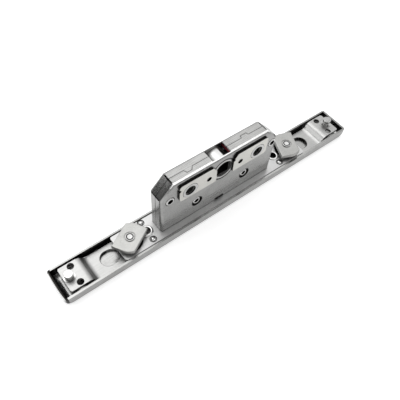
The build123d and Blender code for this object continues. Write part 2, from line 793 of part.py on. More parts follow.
# Spindle hub: journals in both cheeks, toothed sector below, smooth barrel above
with BuildPart() as spindle_hub:
    with BuildSketch(at_y(case_back_y)):
        with Locations((0, spindle_z)):
            Circle(hub_journal_r)
    extrude(amount=case_back_y - case_mid_y - hub_gear_half)
    with BuildSketch(at_y(case_mid_y - hub_gear_half)):
        with Locations((0, spindle_z)):
            Circle(hub_journal_r)
    extrude(amount=case_mid_y - hub_gear_half - case_front_y)
    with BuildSketch(at_y(case_mid_y + hub_gear_half)):
        with Locations((0, spindle_z)):
            Circle(hub_pitch_r - dedendum)
            for i in range(hub_first_tooth, hub_last_tooth + 1):
                Polygon(*tooth_points(hub_pitch_r, 270 + i * 360 / hub_teeth), align=None)
    extrude(amount=2 * hub_gear_half)
    barrel_back = case_back_y - case_sheet - hub_barrel_play
    barrel_front = case_front_y + case_sheet + hub_barrel_play
    a0 = math.radians(barrel_from)
    a1 = math.radians(barrel_to)
    am = (a0 + a1) / 2
    arc = [(hub_barrel_r * math.cos(a), spindle_z + hub_barrel_r * math.sin(a)) for a in (a0, am, a1)]
    with BuildSketch(at_y(barrel_back)):
        with BuildLine():
            Line((0, spindle_z), arc[0])
            ThreePointArc(arc[0], arc[1], arc[2])
            Line(arc[2], (0, spindle_z))
        make_face()
    extrude(amount=barrel_back - barrel_front)
    # step round each end face, seen as a dark arc between hub and cheek, and the recess inside its ring
    for step_y, recess_y in (
        (case_back_y, case_back_y),
        (case_front_y + hub_collar_h, case_front_y + hub_recess_h),
    ):
        with BuildSketch(at_y(step_y)):
            with Locations((0, spindle_z)):
                Circle(hub_barrel_r)
                Circle(hub_collar_r, mode=Mode.SUBTRACT)
        extrude(amount=hub_collar_h, mode=Mode.SUBTRACT)
        with BuildSketch(at_y(recess_y)):
            with Locations((0, spindle_z)):
                Circle(hub_recess_r)
        extrude(amount=hub_recess_h, mode=Mode.SUBTRACT)
    with BuildSketch(at_y(case_back_y)):
        with Locations((0, spindle_z)):
            Rectangle(spindle_square, spindle_square)
    extrude(amount=case_back_y - case_front_y, mode=Mode.SUBTRACT)
save(spindle_hub, "spindle_hub")

# Upper rack: teeth above for the hub and below for the idler, with a leg to the right bar
guide_edge_z = guide_z + guide_sleeve_r + rack_guide_gap
top_root_z = upper_line_z - dedendum
low_root_z = middle_line_z + dedendum
teeth_right_x = -lower_rack_left_x
with BuildPart() as upper_rack:
    with BuildSketch(at_y(rack_y1)):
        Polygon(
            (rack_left_x, guide_edge_z),
            (-rack_relief_x, guide_edge_z),
            (-rack_relief_x, low_root_z),
            (teeth_right_x, low_root_z),
            (teeth_right_x, guide_edge_z),
            (leg_left_x, guide_edge_z),
            (leg_left_x, bar_top),
            (rack_right_x, bar_top),
            (rack_right_x, top_root_z),
            (rack_left_x, top_root_z),
            align=None,
        )
        for i in range(rack_teeth):
            tooth_x = (i - 0.5) * pitch
            Polygon(*rack_tooth(tooth_x, upper_line_z, 1), align=None)
            Polygon(*rack_tooth(tooth_x, middle_line_z, -1), align=None)
    extrude(amount=2 * gear_half)
    with BuildSketch(Plane.XY.offset(bar_low_z)):
        with Locations((leg_tenon_x, case_mid_y)):
            Rectangle(leg_tenon_length, 2 * tenon_half)
    extrude(amount=bar_sheet)
save(upper_rack, "upper_rack")

# Lower rack: stands on the tongue of the left bar
with BuildPart() as lower_rack:
    with BuildSketch(at_y(rack_y1)):
        Polygon(
            (lower_rack_left_x, bar_top),
            (lower_rack_right_x, bar_top),
            (lower_rack_right_x, lower_line_z - dedendum),
            (lower_rack_left_x, lower_line_z - dedendum),
            align=None,
        )
        for i in range(rack_teeth):
            Polygon(*rack_tooth((0.5 - i) * pitch, lower_line_z, 1), align=None)
    extrude(amount=2 * gear_half)
    with BuildSketch(Plane.XY.offset(bar_low_z)):
        with Locations((foot_tenon_x, case_mid_y)):
            Rectangle(foot_tenon_length, 2 * tenon_half)
    extrude(amount=bar_sheet)
save(lower_rack, "lower_rack")

# Idler pinion that reverses the motion for the left bar, and its pin
with BuildPart() as idler_pinion:
    with BuildSketch(at_y(rack_y1)):
        with Locations((0, idler_z)):
            Circle(idler_pitch_r - dedendum)
            for i in range(idler_teeth):
                Polygon(*tooth_points(idler_pitch_r, 90 + i * 360 / idler_teeth), align=None)
            Circle(idler_bore_r, mode=Mode.SUBTRACT)
    extrude(amount=2 * gear_half)
save(idler_pinion, "idler_pinion")

with BuildPart() as idler_pin:
    with BuildSketch(at_y(case_back_y - case_sheet)):
        with Locations((0, idler_z)):
            Circle(idler_pin_r)
    extrude(amount=case_back_y - case_front_y - 2 * case_sheet)
save(idler_pin, "idler_pin")


# Handle plates: cover plates on the front cheek, left and right of the hub
def handle_plate(side):
    # the outer left edge of the left plate and the inner left edge of the right plate carry a small nick
    nick_x = -plate_outer_x if side < 0 else plate_inner_x
    outline = [
        (plate_inner_x, plate_low_z),
        (plate_outer_x, plate_low_z),
        (plate_outer_x, plate_top_z),
        (plate_inner_x + plate_cut_x, plate_top_z),
        (plate_inner_x, plate_top_z - plate_cut_z),
    ]
    with BuildPart() as plate:
        with BuildSketch(at_y(case_front_y)):
            Polygon(*mirrored(outline, side), align=None)
            with Locations((side * handle_screw_x, handle_screw_z)):
                Circle(sleeve_r + slip, mode=Mode.SUBTRACT)
            with Locations((side * pin_hole_x, handle_screw_z)):
                Circle(pin_hole_r, mode=Mode.SUBTRACT)
            with Locations((nick_x, plate_nick_z)):
                Circle(plate_nick_r, mode=Mode.SUBTRACT)
        extrude(amount=case_front_y - plate_front_y)
        with BuildSketch(at_y(plate_front_y + sleeve_collar_h)):
            with Locations((side * handle_screw_x, handle_screw_z)):
                Circle(sleeve_collar_r + sleeve_collar_gap)
        extrude(amount=sleeve_collar_h, mode=Mode.SUBTRACT)
        upright = plate.edges().filter_by(Axis.Y).group_by(Axis.X)
        outer = upright[0] if side < 0 else upright[-1]
        corner_edges = [e for e in outer if abs(abs(e.center().X) - plate_outer_x) < slip]
        far = [e for e in corner_edges if abs(e.center().Z - plate_nick_z) > 2 * plate_nick_r]
        fillet(far, plate_corner_r)
    return plate


save(handle_plate(-1), "left_handle_plate")
save(handle_plate(1), "right_handle_plate")


# Threaded bushes for the handle screws, through the whole case
def threaded_bush(side):
    with BuildPart() as bush:
        with BuildSketch(at_y(case_back_y)):
            with Locations((side * handle_screw_x, handle_screw_z)):
                Circle(sleeve_r)
        extrude(amount=case_back_y - plate_front_y)
        with BuildSketch(at_y(plate_front_y + sleeve_collar_h)):
            with Locations((side * handle_screw_x, handle_screw_z)):
                Circle(sleeve_collar_r)
        extrude(amount=sleeve_collar_h)
        with BuildSketch(at_y(case_back_y)):
            with Locations((side * handle_screw_x, handle_screw_z)):
                Circle(sleeve_bore_r)
        extrude(amount=case_back_y - plate_front_y, mode=Mode.SUBTRACT)
    return bush


save(threaded_bush(-1), "left_threaded_bush")
save(threaded_bush(1), "right_threaded_bush")

# Red pad under the edge of the top opening
pad_back_y = case_back_y - case_sheet - slip
pad_front_y = case_front_y + case_sheet + slip
with BuildPart() as stop_pad:
    with BuildSketch(at_y(pad_back_y)):
        with Locations(((pad_left_x + pad_right_x) / 2, case_top_z - case_sheet - pad_h / 2)):
            Rectangle(pad_right_x - pad_left_x, pad_h)
    extrude(amount=pad_back_y - pad_front_y)
save(stop_pad, "stop_pad")
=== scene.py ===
# %% [markdown]
# A lock body for a sliding window, in stainless steel. The solids come from the CAD
# frame and keep their sizes. This lesson gives every piece its finish, adds the small
# formed details that repeat (rolled rivets, domed heads, screw threads) with Geometry
# Nodes, and sets up a plain studio with the camera where the photograph was taken.

# %% The frame
import json
import math

import bmesh
import bpy
from mathutils import Matrix, Vector

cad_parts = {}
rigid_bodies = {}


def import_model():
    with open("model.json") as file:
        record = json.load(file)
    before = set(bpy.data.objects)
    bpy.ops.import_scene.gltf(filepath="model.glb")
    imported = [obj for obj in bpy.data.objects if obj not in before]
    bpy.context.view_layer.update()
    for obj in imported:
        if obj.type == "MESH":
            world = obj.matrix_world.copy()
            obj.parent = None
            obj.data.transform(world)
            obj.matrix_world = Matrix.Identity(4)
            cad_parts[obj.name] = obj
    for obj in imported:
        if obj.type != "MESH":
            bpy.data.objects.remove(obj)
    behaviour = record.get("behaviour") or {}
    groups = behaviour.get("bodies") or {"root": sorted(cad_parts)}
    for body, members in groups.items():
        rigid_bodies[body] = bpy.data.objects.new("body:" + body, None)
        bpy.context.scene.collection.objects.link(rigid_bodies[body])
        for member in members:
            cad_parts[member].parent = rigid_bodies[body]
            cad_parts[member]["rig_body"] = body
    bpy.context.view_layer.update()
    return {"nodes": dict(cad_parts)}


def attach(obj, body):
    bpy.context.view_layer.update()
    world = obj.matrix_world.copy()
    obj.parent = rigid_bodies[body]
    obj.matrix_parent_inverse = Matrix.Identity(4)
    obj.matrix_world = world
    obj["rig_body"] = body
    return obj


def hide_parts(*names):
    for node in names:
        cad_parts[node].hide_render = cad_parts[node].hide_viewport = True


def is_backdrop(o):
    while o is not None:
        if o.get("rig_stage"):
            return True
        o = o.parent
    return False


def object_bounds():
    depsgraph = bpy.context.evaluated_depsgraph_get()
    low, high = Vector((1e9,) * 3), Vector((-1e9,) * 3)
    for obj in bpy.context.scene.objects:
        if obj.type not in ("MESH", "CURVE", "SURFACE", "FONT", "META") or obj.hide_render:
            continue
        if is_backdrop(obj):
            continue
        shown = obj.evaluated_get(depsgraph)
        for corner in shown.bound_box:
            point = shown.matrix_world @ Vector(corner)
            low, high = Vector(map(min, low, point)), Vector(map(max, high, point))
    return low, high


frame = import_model()
nodes = frame["nodes"]

# %% [markdown]
# Sizes are written in millimetres, as a maker would read them off a drawing, and turned
# to metres once. Colours are written as sRGB hex codes, as one would pick them from a
# photograph, and turned to the linear values that Blender shades with. Nodes could be
# wired by hand, but two small helpers keep the recipes below short: one adds a node with
# its settings and links, and one does sums, with sockets or plain numbers.

# %% Units and colours
MM = 0.001


def colour(code):
    # the sRGB curve: a straight foot, then a power
    parts = [int(code[i:i + 2], 16) / 255 for i in (1, 3, 5)]
    linear = [c / 12.92 if c <= 0.04045 else ((c + 0.055) / 1.055) ** 2.4 for c in parts]
    return (*linear, 1.0)


def add_node(tree, kind, settings=None, values=None, links=None):
    # one node with its settings, its input values and what feeds it
    made = tree.nodes.new(kind)
    for key, value in (settings or {}).items():
        setattr(made, key, value)
    for key, value in (values or {}).items():
        made.inputs[key].default_value = value
    for key, source in (links or {}).items():
        tree.links.new(source, made.inputs[key])
    return made


def math_of(tree, first, second, operation):
    # first and second are sockets or plain numbers
    values = {i: v for i, v in enumerate((first, second)) if isinstance(v, (int, float))}
    links = {i: v for i, v in enumerate((first, second)) if i not in values}
    return add_node(tree, "ShaderNodeMath", {"operation": operation}, values, links).outputs[0]


print("grey 50 % in linear light:", [round(v, 3) for v in colour("#808080")[:3]])

# %% [markdown]
# The photograph was taken from the front left and well above the lock, with a normal
# lens. The place, the turn and the focal length were worked out beforehand from the
# channel's edges, the holes and the case, so they are set here as numbers. The rows are
# the camera's right, down and forward directions in the lock's own axes.

# %% Camera
CAMERA_PLACE = (-107.90, -109.81, 219.31)
CAMERA_RIGHT = (0.79552364, -0.60393722, 0.04900993)
CAMERA_DOWN = (-0.47681323, -0.67387341, -0.56439682)
CAMERA_FORWARD = (0.37388673, 0.42562243, -0.82404748)
FOCAL_PIXELS = 479.61
FRAME_PIXELS = 400
CENTRE_PIXEL = (196.96, 201.23)
SENSOR_WIDTH = 36

camera_data = bpy.data.cameras.new("photo_camera")
camera_data.sensor_width = SENSOR_WIDTH
camera_data.lens = FOCAL_PIXELS / FRAME_PIXELS * SENSOR_WIDTH
camera_data.shift_x = 0.5 - CENTRE_PIXEL[0] / FRAME_PIXELS
camera_data.shift_y = CENTRE_PIXEL[1] / FRAME_PIXELS - 0.5
camera_data.clip_start = 0.01
camera = bpy.data.objects.new("photo_camera", camera_data)
bpy.context.scene.collection.objects.link(camera)
turn = Matrix([[CAMERA_RIGHT[i], -CAMERA_DOWN[i], -CAMERA_FORWARD[i]] for i in range(3)])
camera.matrix_world = Matrix.Translation([v * MM for v in CAMERA_PLACE]) @ turn.to_4x4()
bpy.context.scene.camera = camera
print("lens", round(camera_data.lens, 2), "mm")

# %% [markdown]
# A steel finish is one metal with a grain. Cold-rolled and brushed sheet has fine lines
# along one direction, tumbled plate has a soft mottle, and turned parts have rings. All
# are the same shader with a stretched noise: the stretch says how long a line is next
# to its width, and the line width is a real size in millimetres. Grain on real polished
# sheet is about 0.02 mm wide; it is drawn ten times coarser here so that it shows. The
# same noise moves the colour, the gloss and a slight relief, as one scratch does.

# %% Grain and mottle
MOTTLE_MM = 9.0
MOTTLE_SHARE = 0.45
DARK_FROM = 0.3
LIGHT_FROM = 0.68
GLOSS_FROM = 0.3
GLOSS_TO = 0.7
SCRATCH_DEPTH = 0.02
# a Mix node holds its sockets for numbers and for colours side by side, picked by number
MIX_FLOAT_A, MIX_FLOAT_B = 2, 3
MIX_COLOUR_A, MIX_COLOUR_B, MIX_COLOUR_OUT = 6, 7, 2
ALONG_X = (40.0, 1.0, 1.0)
RINGS_ROUND_Z = (6.0, 6.0, 1.0)
NO_GRAIN = (1.0, 1.0, 1.0)


def new_material(name):
    mat = bpy.data.materials.new(name)
    mat.use_nodes = True
    mat.node_tree.nodes.clear()
    return mat, mat.node_tree


def metal_grain(tree, place, light, dark, rough, spread, line_mm, stretch, relief):
    per_metre = 1 / (line_mm * MM)
    stretched = add_node(
        tree, "ShaderNodeMapping",
        values={"Scale": tuple(per_metre / s for s in stretch)},
        links={"Vector": place.outputs["Object"]},
    )
    lines = add_node(
        tree, "ShaderNodeTexNoise",
        values={"Scale": 1.0, "Detail": 3.0, "Roughness": 0.6},
        links={"Vector": stretched.outputs["Vector"]},
    )
    mottle = add_node(
        tree, "ShaderNodeTexNoise",
        values={"Scale": 1 / (MOTTLE_MM * MM), "Detail": 4.0, "Roughness": 0.55},
        links={"Vector": place.outputs["Object"]},
    )
    both = add_node(
        tree, "ShaderNodeMix", settings={"data_type": "FLOAT"},
        values={0: MOTTLE_SHARE},
        links={MIX_FLOAT_A: lines.outputs["Fac"], MIX_FLOAT_B: mottle.outputs["Fac"]},
    )
    ramp = add_node(tree, "ShaderNodeValToRGB", links={"Fac": both.outputs[0]})
    ramp.color_ramp.elements[0].position = DARK_FROM
    ramp.color_ramp.elements[0].color = colour(dark)
    ramp.color_ramp.elements[1].position = LIGHT_FROM
    ramp.color_ramp.elements[1].color = colour(light)
    gloss = add_node(
        tree, "ShaderNodeMapRange",
        values={
            "From Min": GLOSS_FROM, "From Max": GLOSS_TO,
            "To Min": rough - spread, "To Max": rough + spread,
        },
        links={"Value": both.outputs[0]},
    )
    bump = add_node(
        tree, "ShaderNodeBump",
        values={"Strength": relief, "Distance": SCRATCH_DEPTH * MM},
        links={"Height": lines.outputs["Fac"]},
    )
    return ramp.outputs["Color"], gloss.outputs["Result"], bump.outputs["Normal"]


print("a line of rolled grain is", ALONG_X[0], "times as long as it is wide")

# %% [markdown]
# Even a new lock isn't evenly bright, and here that shade is painted into the colour: an
# Ambient Occlusion node darkens, as painted shade, what lies closer to a neighbour than
# the gap. Painted shade is also laid on places without a close neighbour: the sheared
# edge of a sheet between two depths, a bore or a ring round an axis, and the foot of the
# case under its contact line; the same colour marks the case's seam as a dark joint. They
# could be painted by hand; here each one is a simple test on the object's own coordinates
# and normal, so it can be moved by changing a number.

# %% Painted shade
GAP_CLOSED = 0.12
GAP_OPEN = 0.62
# the colour of the painted shade, and of the dark seam joint
SHADE_AND_JOINT_COLOUR = "#1c1b1a"


def band(tree, source, low, high, unit=MM):
    # 1 where the value lies between the two limits, and 0 elsewhere
    return add_node(
        tree, "ShaderNodeMath", settings={"operation": "COMPARE"},
        values={1: (low + high) / 2 * unit, 2: abs(high - low) / 2 * unit},
        links={0: source},
    ).outputs["Value"]


def parts_of(tree, vector):
    return add_node(tree, "ShaderNodeSeparateXYZ", links={"Vector": vector}).outputs


def from_axis(tree, place, centre):
    # the distance from the axis for which the centre has no value
    offset = add_node(
        tree, "ShaderNodeVectorMath", settings={"operation": "MULTIPLY_ADD"},
        values={
            1: tuple(0.0 if c is None else 1.0 for c in centre),
            2: tuple(0.0 if c is None else -c * MM for c in centre),
        },
        links={0: place.outputs["Object"]},
    )
    return add_node(
        tree, "ShaderNodeVectorMath", settings={"operation": "LENGTH"},
        links={0: offset.outputs["Vector"]},
    ).outputs["Value"]


def paint_shade_and_joints(tree, place, gap_mm, sheared, bores, contact_mm):
    # 1 where shade is painted (crevices, the dark places) and on the dark seam joint, 0 on open
    # faces
    near = add_node(
        tree, "ShaderNodeAmbientOcclusion", settings={"samples": 8},
        values={"Distance": gap_mm * MM},
    )
    crevice = add_node(
        tree, "ShaderNodeMapRange", settings={"interpolation_type": "SMOOTHSTEP"},
        values={"From Min": GAP_CLOSED, "From Max": GAP_OPEN, "To Min": 1.0, "To Max": 0.0},
        links={"Value": near.outputs["AO"]},
    )
    facing = parts_of(tree, place.outputs["Normal"])
    where = parts_of(tree, place.outputs["Object"])
    dark_places = []
    for from_y_mm, to_y_mm, from_normal, to_normal in sheared:
        turned_in = add_node(
            tree, "ShaderNodeMapRange",
            values={"From Min": from_normal, "From Max": to_normal, "To Min": 0.0, "To Max": 1.0},
            links={"Value": facing["Y"]},
        )
        depth = band(tree, where["Y"], from_y_mm, to_y_mm)
        dark_places.append(math_of(tree, turned_in.outputs["Result"], depth, "MULTIPLY"))
    for centre, from_r, to_r in bores:
        dark_places.append(band(tree, from_axis(tree, place, centre), from_r, to_r))
    if contact_mm is not None:
        dark_places.append(math_of(tree, where["Z"], contact_mm * MM, "LESS_THAN"))
    shade = crevice.outputs["Result"]
    for dark_place in dark_places:
        shade = math_of(tree, shade, dark_place, "MAXIMUM")
    return shade


print("the film is", [round(v, 4) for v in colour(SHADE_AND_JOINT_COLOUR)[:3]], "in linear light")

# %% [markdown]
# A painted highlight is laid on the outside of a tight bend, the opposite of the painted
# shade in a crevice. It is found by its height and by how far its normal has turned to the
# front. With the painted shade and this painted highlight, one function makes every steel
# here. A metal's colour is its mirror colour, so metallic is 1 and the rest is gloss and relief.

# %% One steel
# the colour of the painted highlight on bends
PAINTED_HIGHLIGHT_COLOUR = "#d8d8d7"
finishes = {}


def over(tree, base, top_code, share):
    # a plain colour laid over the base colour where the share is 1
    return add_node(
        tree, "ShaderNodeMix", settings={"data_type": "RGBA"},
        values={MIX_COLOUR_B: colour(top_code)},
        links={0: share, MIX_COLOUR_A: base},
    ).outputs[MIX_COLOUR_OUT]


def lay_painted_highlights(tree, place, steel_colour, painted_highlights):
    for from_z_mm, to_z_mm, from_normal, to_normal in painted_highlights:
        facing = parts_of(tree, place.outputs["Normal"])
        where = parts_of(tree, place.outputs["Object"])
        turned = band(tree, facing["Y"], from_normal, to_normal, unit=1)
        level = band(tree, where["Z"], from_z_mm, to_z_mm)
        highlight_share = math_of(tree, turned, level, "MULTIPLY")
        steel_colour = over(tree, steel_colour, PAINTED_HIGHLIGHT_COLOUR, highlight_share)
    return steel_colour


def grained_steel(
    name, light, dark, rough, spread, line_mm, stretch, relief,
    gap_mm=2.2, sheared=(), bores=(), contact_mm=None, painted_highlights=(),
):
    mat, tree = new_material(name)
    place = add_node(tree, "ShaderNodeTexCoord")
    steel_colour, gloss, normal = metal_grain(
        tree, place, light, dark, rough, spread, line_mm, stretch, relief
    )
    shade = paint_shade_and_joints(tree, place, gap_mm, sheared, bores, contact_mm)
    steel_colour = lay_painted_highlights(tree, place, steel_colour, painted_highlights)
    shader = add_node(
        tree, "ShaderNodeBsdfPrincipled",
        values={"Metallic": 1.0},
        links={
            "Base Color": over(tree, steel_colour, SHADE_AND_JOINT_COLOUR, shade),
            "Roughness": gloss,
            "Normal": normal,
        },
    )
    add_node(tree, "ShaderNodeOutputMaterial", links={"Surface": shader.outputs["BSDF"]})
    finishes[name] = mat


print("painted_highlights", [round(v, 2) for v in colour(PAINTED_HIGHLIGHT_COLOUR)[:3]], "in linear light")

# %% [markdown]
# The places of painted shade below are read off the drawing, in millimetres. A sheared face
# is given as two depths and the two values of the normal between which the painted shade
# fades in, and from -2 to -1 means whichever way the face looks. A bore is given as a
# centre, with no value on its axis, and the two radii between which shade is painted.

# %% Places on the drawing
SPINDLE_Z = 31.6
SPINDLE_RECESS_R = 5.15
HANDLE_SCREW_X = 21.5
HANDLE_SCREW_Z = 31.9
HANDLE_BORE_R = 3.05
CASE_RIVET_X = 32.8
CASE_RIVET_Z = 30.4
CASE_RIVET_BORE_R = 1.6
CASE_RIVET_RIM_R = 2.3
CASE_RIVET_SEAT_R = 2.75
GUIDE_RIVET_X = 15.8
GUIDE_RIVET_Z = 16.6
GUIDE_RIVET_BORE_R = 1.4
GUIDE_RIVET_RIM_R = 2.2
GUIDE_DIMPLE_R = 3.4
EYELET_X = 43.7
EYELET_BORE_R = 2.1
BRIDGE_RIVET_Y = 5.8
BRIDGE_RIVET_HEAD_R = 1.5
BRIDGE_RIVET_SEAT_R = 1.95
CLAMP_X = 53.7
# the painted shadow of each clamp plate on the bridge plate reaches out to this radius
CLAMP_SHADOW_R = 6.6
CLAMP_SCREW_TIP_R = 1.35
CLAMP_SCREW_GROOVE_R = 1.95
SLOT_X = 66.8
SLOT_EDGE_R = 4.42
SLOT_RIM_R = 4.62
# painted shade: the case is darkened below this height, along its foot on the plate
CASE_FOOT_Z = 7.3
# a painted highlight lies on the case's top bend between these two heights
CASE_BEND_LOW_Z = 39.5
CASE_BEND_HIGH_Z = 42.0
SEAM_FRONT_Y = -2.4
SEAM_BACK_Y = 1.4
# painted shade lies on the covers' sheared edges between these depths
COVER_BACK_Y = -5.0
COVER_FRONT_Y = -6.2
# painted shade lies on the back flange's inner face and along the bridge plate's back edge, between
# these depths
FLANGE_LINE_Y = (8.2, 8.65)
BRIDGE_EDGE_Y = (7.5, 7.9)
EITHER_WAY = (-2.0, -1.0)
# painted shade on the top of the left end wall is laid on a short piece of a wide ring, which bends
# very little
END_RING_X = 20.0
END_RING_R = (114.2, 115.5)
# painted shade over the notch at the case's foot is a row of small round patches on the case and on
# the plate
NOTCH_PATCHES_X = (-2.6, -1.6, -0.6, 0.4, 1.4)
NOTCH_FACE_Y = -5.05
NOTCH_TOP_Z = 8.1
NOTCH_PATCH_R = 1.05
PLATE_PATCHES_X = (-1.7, 0.3, 2.3)
PLATE_PATCH_Y = -3.35
PLATE_PATCH_R = 1.75


def both_sides(x, y, z, to_r, from_r=0.0):
    return [((side * x, y, z), from_r, to_r) for side in (-1, 1)]


print("two slots lie at", both_sides(SLOT_X, 0.0, None, SLOT_RIM_R, SLOT_EDGE_R))

# %% [markdown]
# The lock is made of six kinds of sheet and strip, and they are told apart by eye: the
# channel and the bars are rolled strip, the bridge plate is matt, the case is brushed,
# the clamp plates are tumbled and the covers are plated. One grey for all would look like
# a toy, so each gets its own two greys, gloss and grain.

# %% Sheet and strip
# folded from bright cold-rolled strip: long rolling lines, with painted shade on the back flange's
# inner face and the left end wall's top
grained_steel(
    "rolled_tray_steel", "#9d9d9c", "#7c7c7b",
    rough=0.26, spread=0.07, line_mm=0.22, stretch=ALONG_X, relief=0.25,
    sheared=[FLANGE_LINE_Y + EITHER_WAY],
    bores=[((END_RING_X, 0.0, None), *END_RING_R)],
)
# polished strip: a soft wide shine that the joggled end turns from light to dark, and painted shade
# round the slots' rounded ends
grained_steel(
    "polished_strip_steel", "#acacab", "#8f8f8e",
    rough=0.38, spread=0.05, line_mm=0.22, stretch=ALONG_X, relief=0.15, gap_mm=1.3,
    bores=both_sides(SLOT_X, 0.0, None, SLOT_RIM_R, SLOT_EDGE_R),
)
# stamped and tumbled plate: no grain; painted shade rings the rivet heads and lies round each clamp
# plate as its shadow
grained_steel(
    "stamped_plate_steel", "#bababa", "#9e9e9d",
    rough=0.42, spread=0.06, line_mm=0.3, stretch=NO_GRAIN, relief=0.2, gap_mm=1.4,
    sheared=[BRIDGE_EDGE_Y + EITHER_WAY],
    bores=both_sides(EYELET_X, BRIDGE_RIVET_Y, None, BRIDGE_RIVET_SEAT_R, BRIDGE_RIVET_HEAD_R)
    + both_sides(EYELET_X, -BRIDGE_RIVET_Y, None, BRIDGE_RIVET_SEAT_R, BRIDGE_RIVET_HEAD_R)
    + both_sides(CLAMP_X, 0.0, None, CLAMP_SHADOW_R)
    + [((x, PLATE_PATCH_Y, None), 0.0, PLATE_PATCH_R) for x in PLATE_PATCHES_X],
)
# deep-drawn and brushed along its length: dark seam, painted shade in the rivet rings, dimples,
# notch and along the foot, and a painted highlight on the top bend
grained_steel(
    "brushed_case_steel", "#9c9c9b", "#7c7c7b",
    rough=0.28, spread=0.06, line_mm=0.2, stretch=ALONG_X, relief=0.3,
    sheared=[(SEAM_FRONT_Y, SEAM_BACK_Y, -0.3, -0.6), (SEAM_FRONT_Y, SEAM_BACK_Y, 0.3, 0.6)],
    bores=both_sides(GUIDE_RIVET_X, None, GUIDE_RIVET_Z, GUIDE_DIMPLE_R, GUIDE_RIVET_RIM_R)
    + both_sides(CASE_RIVET_X, None, CASE_RIVET_Z, CASE_RIVET_SEAT_R, CASE_RIVET_RIM_R)
    + [((x, NOTCH_FACE_Y, NOTCH_TOP_Z), 0.0, NOTCH_PATCH_R) for x in NOTCH_PATCHES_X],
    contact_mm=CASE_FOOT_Z, painted_highlights=[(CASE_BEND_LOW_Z, CASE_BEND_HIGH_Z, -0.12, -0.72)],
)
# blanked and tumbled plate: a slightly coarse, even mottle
grained_steel(
    "tumbled_plate_steel", "#a3a3a1", "#858583",
    rough=0.34, spread=0.08, line_mm=0.5, stretch=NO_GRAIN, relief=0.35,
)
# nickel-plated sheet: the palest and warmest surface, with painted shade on its sheared edges
grained_steel(
    "satin_cover_steel", "#c9c8c4", "#b3b2ad",
    rough=0.42, spread=0.06, line_mm=0.35, stretch=NO_GRAIN, relief=0.3,
    sheared=[(COVER_FRONT_Y, COVER_BACK_Y, -0.7, -0.4)],
)
print(len(finishes), "sheet finishes")

# %% [markdown]
# The small parts come from other machines. Studs, screws and bushes are turned on a
# lathe, rivets are rolled or struck, gears are pressed from powder, and the threads in
# the bushes are cut. They could share the sheet's finish, but their higher shine sets
# them off from the sheet round them.

# %% Turned, cut, riveted and sintered
# turned bar: fine rings and a high shine, with painted shade in the bush bores and the clamp
# screws' grooves
grained_steel(
    "turned_steel", "#bcbcbb", "#9c9c9b",
    rough=0.22, spread=0.05, line_mm=0.2, stretch=RINGS_ROUND_Z, relief=0.2,
    bores=both_sides(HANDLE_SCREW_X, None, HANDLE_SCREW_Z, HANDLE_BORE_R)
    + both_sides(CLAMP_X, 0.0, None, CLAMP_SCREW_GROOVE_R, CLAMP_SCREW_TIP_R),
)
# cut threads are painted nearly black between the flanks, as painted shade deep in the bore
grained_steel(
    "cut_thread_steel", "#454544", "#30302f",
    rough=0.25, spread=0.05, line_mm=0.2, stretch=NO_GRAIN, relief=0.1, gap_mm=9.0,
)
# rolled or struck rivet heads: smooth and bright, with painted shade in their bores
grained_steel(
    "rivet_steel", "#c8c8c7", "#a5a5a4",
    rough=0.2, spread=0.05, line_mm=0.3, stretch=NO_GRAIN, relief=0.2,
    bores=both_sides(CASE_RIVET_X, None, CASE_RIVET_Z, CASE_RIVET_BORE_R)
    + both_sides(GUIDE_RIVET_X, None, GUIDE_RIVET_Z, GUIDE_RIVET_BORE_R)
    + both_sides(EYELET_X, 0.0, None, EYELET_BORE_R),
)
# pressed and sintered powder: grey, even and a little rough, with painted shade in the spindle's
# recess
grained_steel(
    "sintered_gear_steel", "#bcbcbb", "#a0a09f",
    rough=0.36, spread=0.08, line_mm=0.25, stretch=NO_GRAIN, relief=0.3,
    bores=[((0.0, None, SPINDLE_Z), 0.0, SPINDLE_RECESS_R)],
)
print(len(finishes), "steel finishes")

# %% [markdown]
# The small pad under the edge of the top opening is moulded in dark red plastic. Moulded
# nylon has a fine even grain and no grain direction, so one round noise drives both its
# colour and its relief.

# %% Red moulded nylon
NYLON_GRAIN_MM = 0.4
red, red_tree = new_material("red_moulded_nylon")
red_place = add_node(red_tree, "ShaderNodeTexCoord")
red_grain = add_node(
    red_tree, "ShaderNodeTexNoise",
    values={"Scale": 1 / (NYLON_GRAIN_MM * MM), "Detail": 2.0},
    links={"Vector": red_place.outputs["Object"]},
)
red_tone = add_node(red_tree, "ShaderNodeValToRGB", links={"Fac": red_grain.outputs["Fac"]})
red_tone.color_ramp.elements[0].color = colour("#5c0f1c")
red_tone.color_ramp.elements[1].color = colour("#8a1c2c")
red_bump = add_node(
    red_tree, "ShaderNodeBump",
    values={"Strength": 0.2, "Distance": 0.02 * MM},
    links={"Height": red_grain.outputs["Fac"]},
)
red_shader = add_node(
    red_tree, "ShaderNodeBsdfPrincipled",
    values={"Roughness": 0.45, "IOR": 1.53},
    links={"Base Color": red_tone.outputs["Color"], "Normal": red_bump.outputs["Normal"]},
)
add_node(red_tree, "ShaderNodeOutputMaterial", links={"Surface": red_shader.outputs["BSDF"]})
finishes["red_moulded_nylon"] = red
print("nylon grain", NYLON_GRAIN_MM, "mm,", len(finishes), "finishes in all")

# %% [markdown]
# Each solid gets the finish of the piece it is. The names on the right are the solids of
# the frame, so a piece can be found again in the CAD model. Pieces of one kind share one
# material, so a change to it shows on all of them.

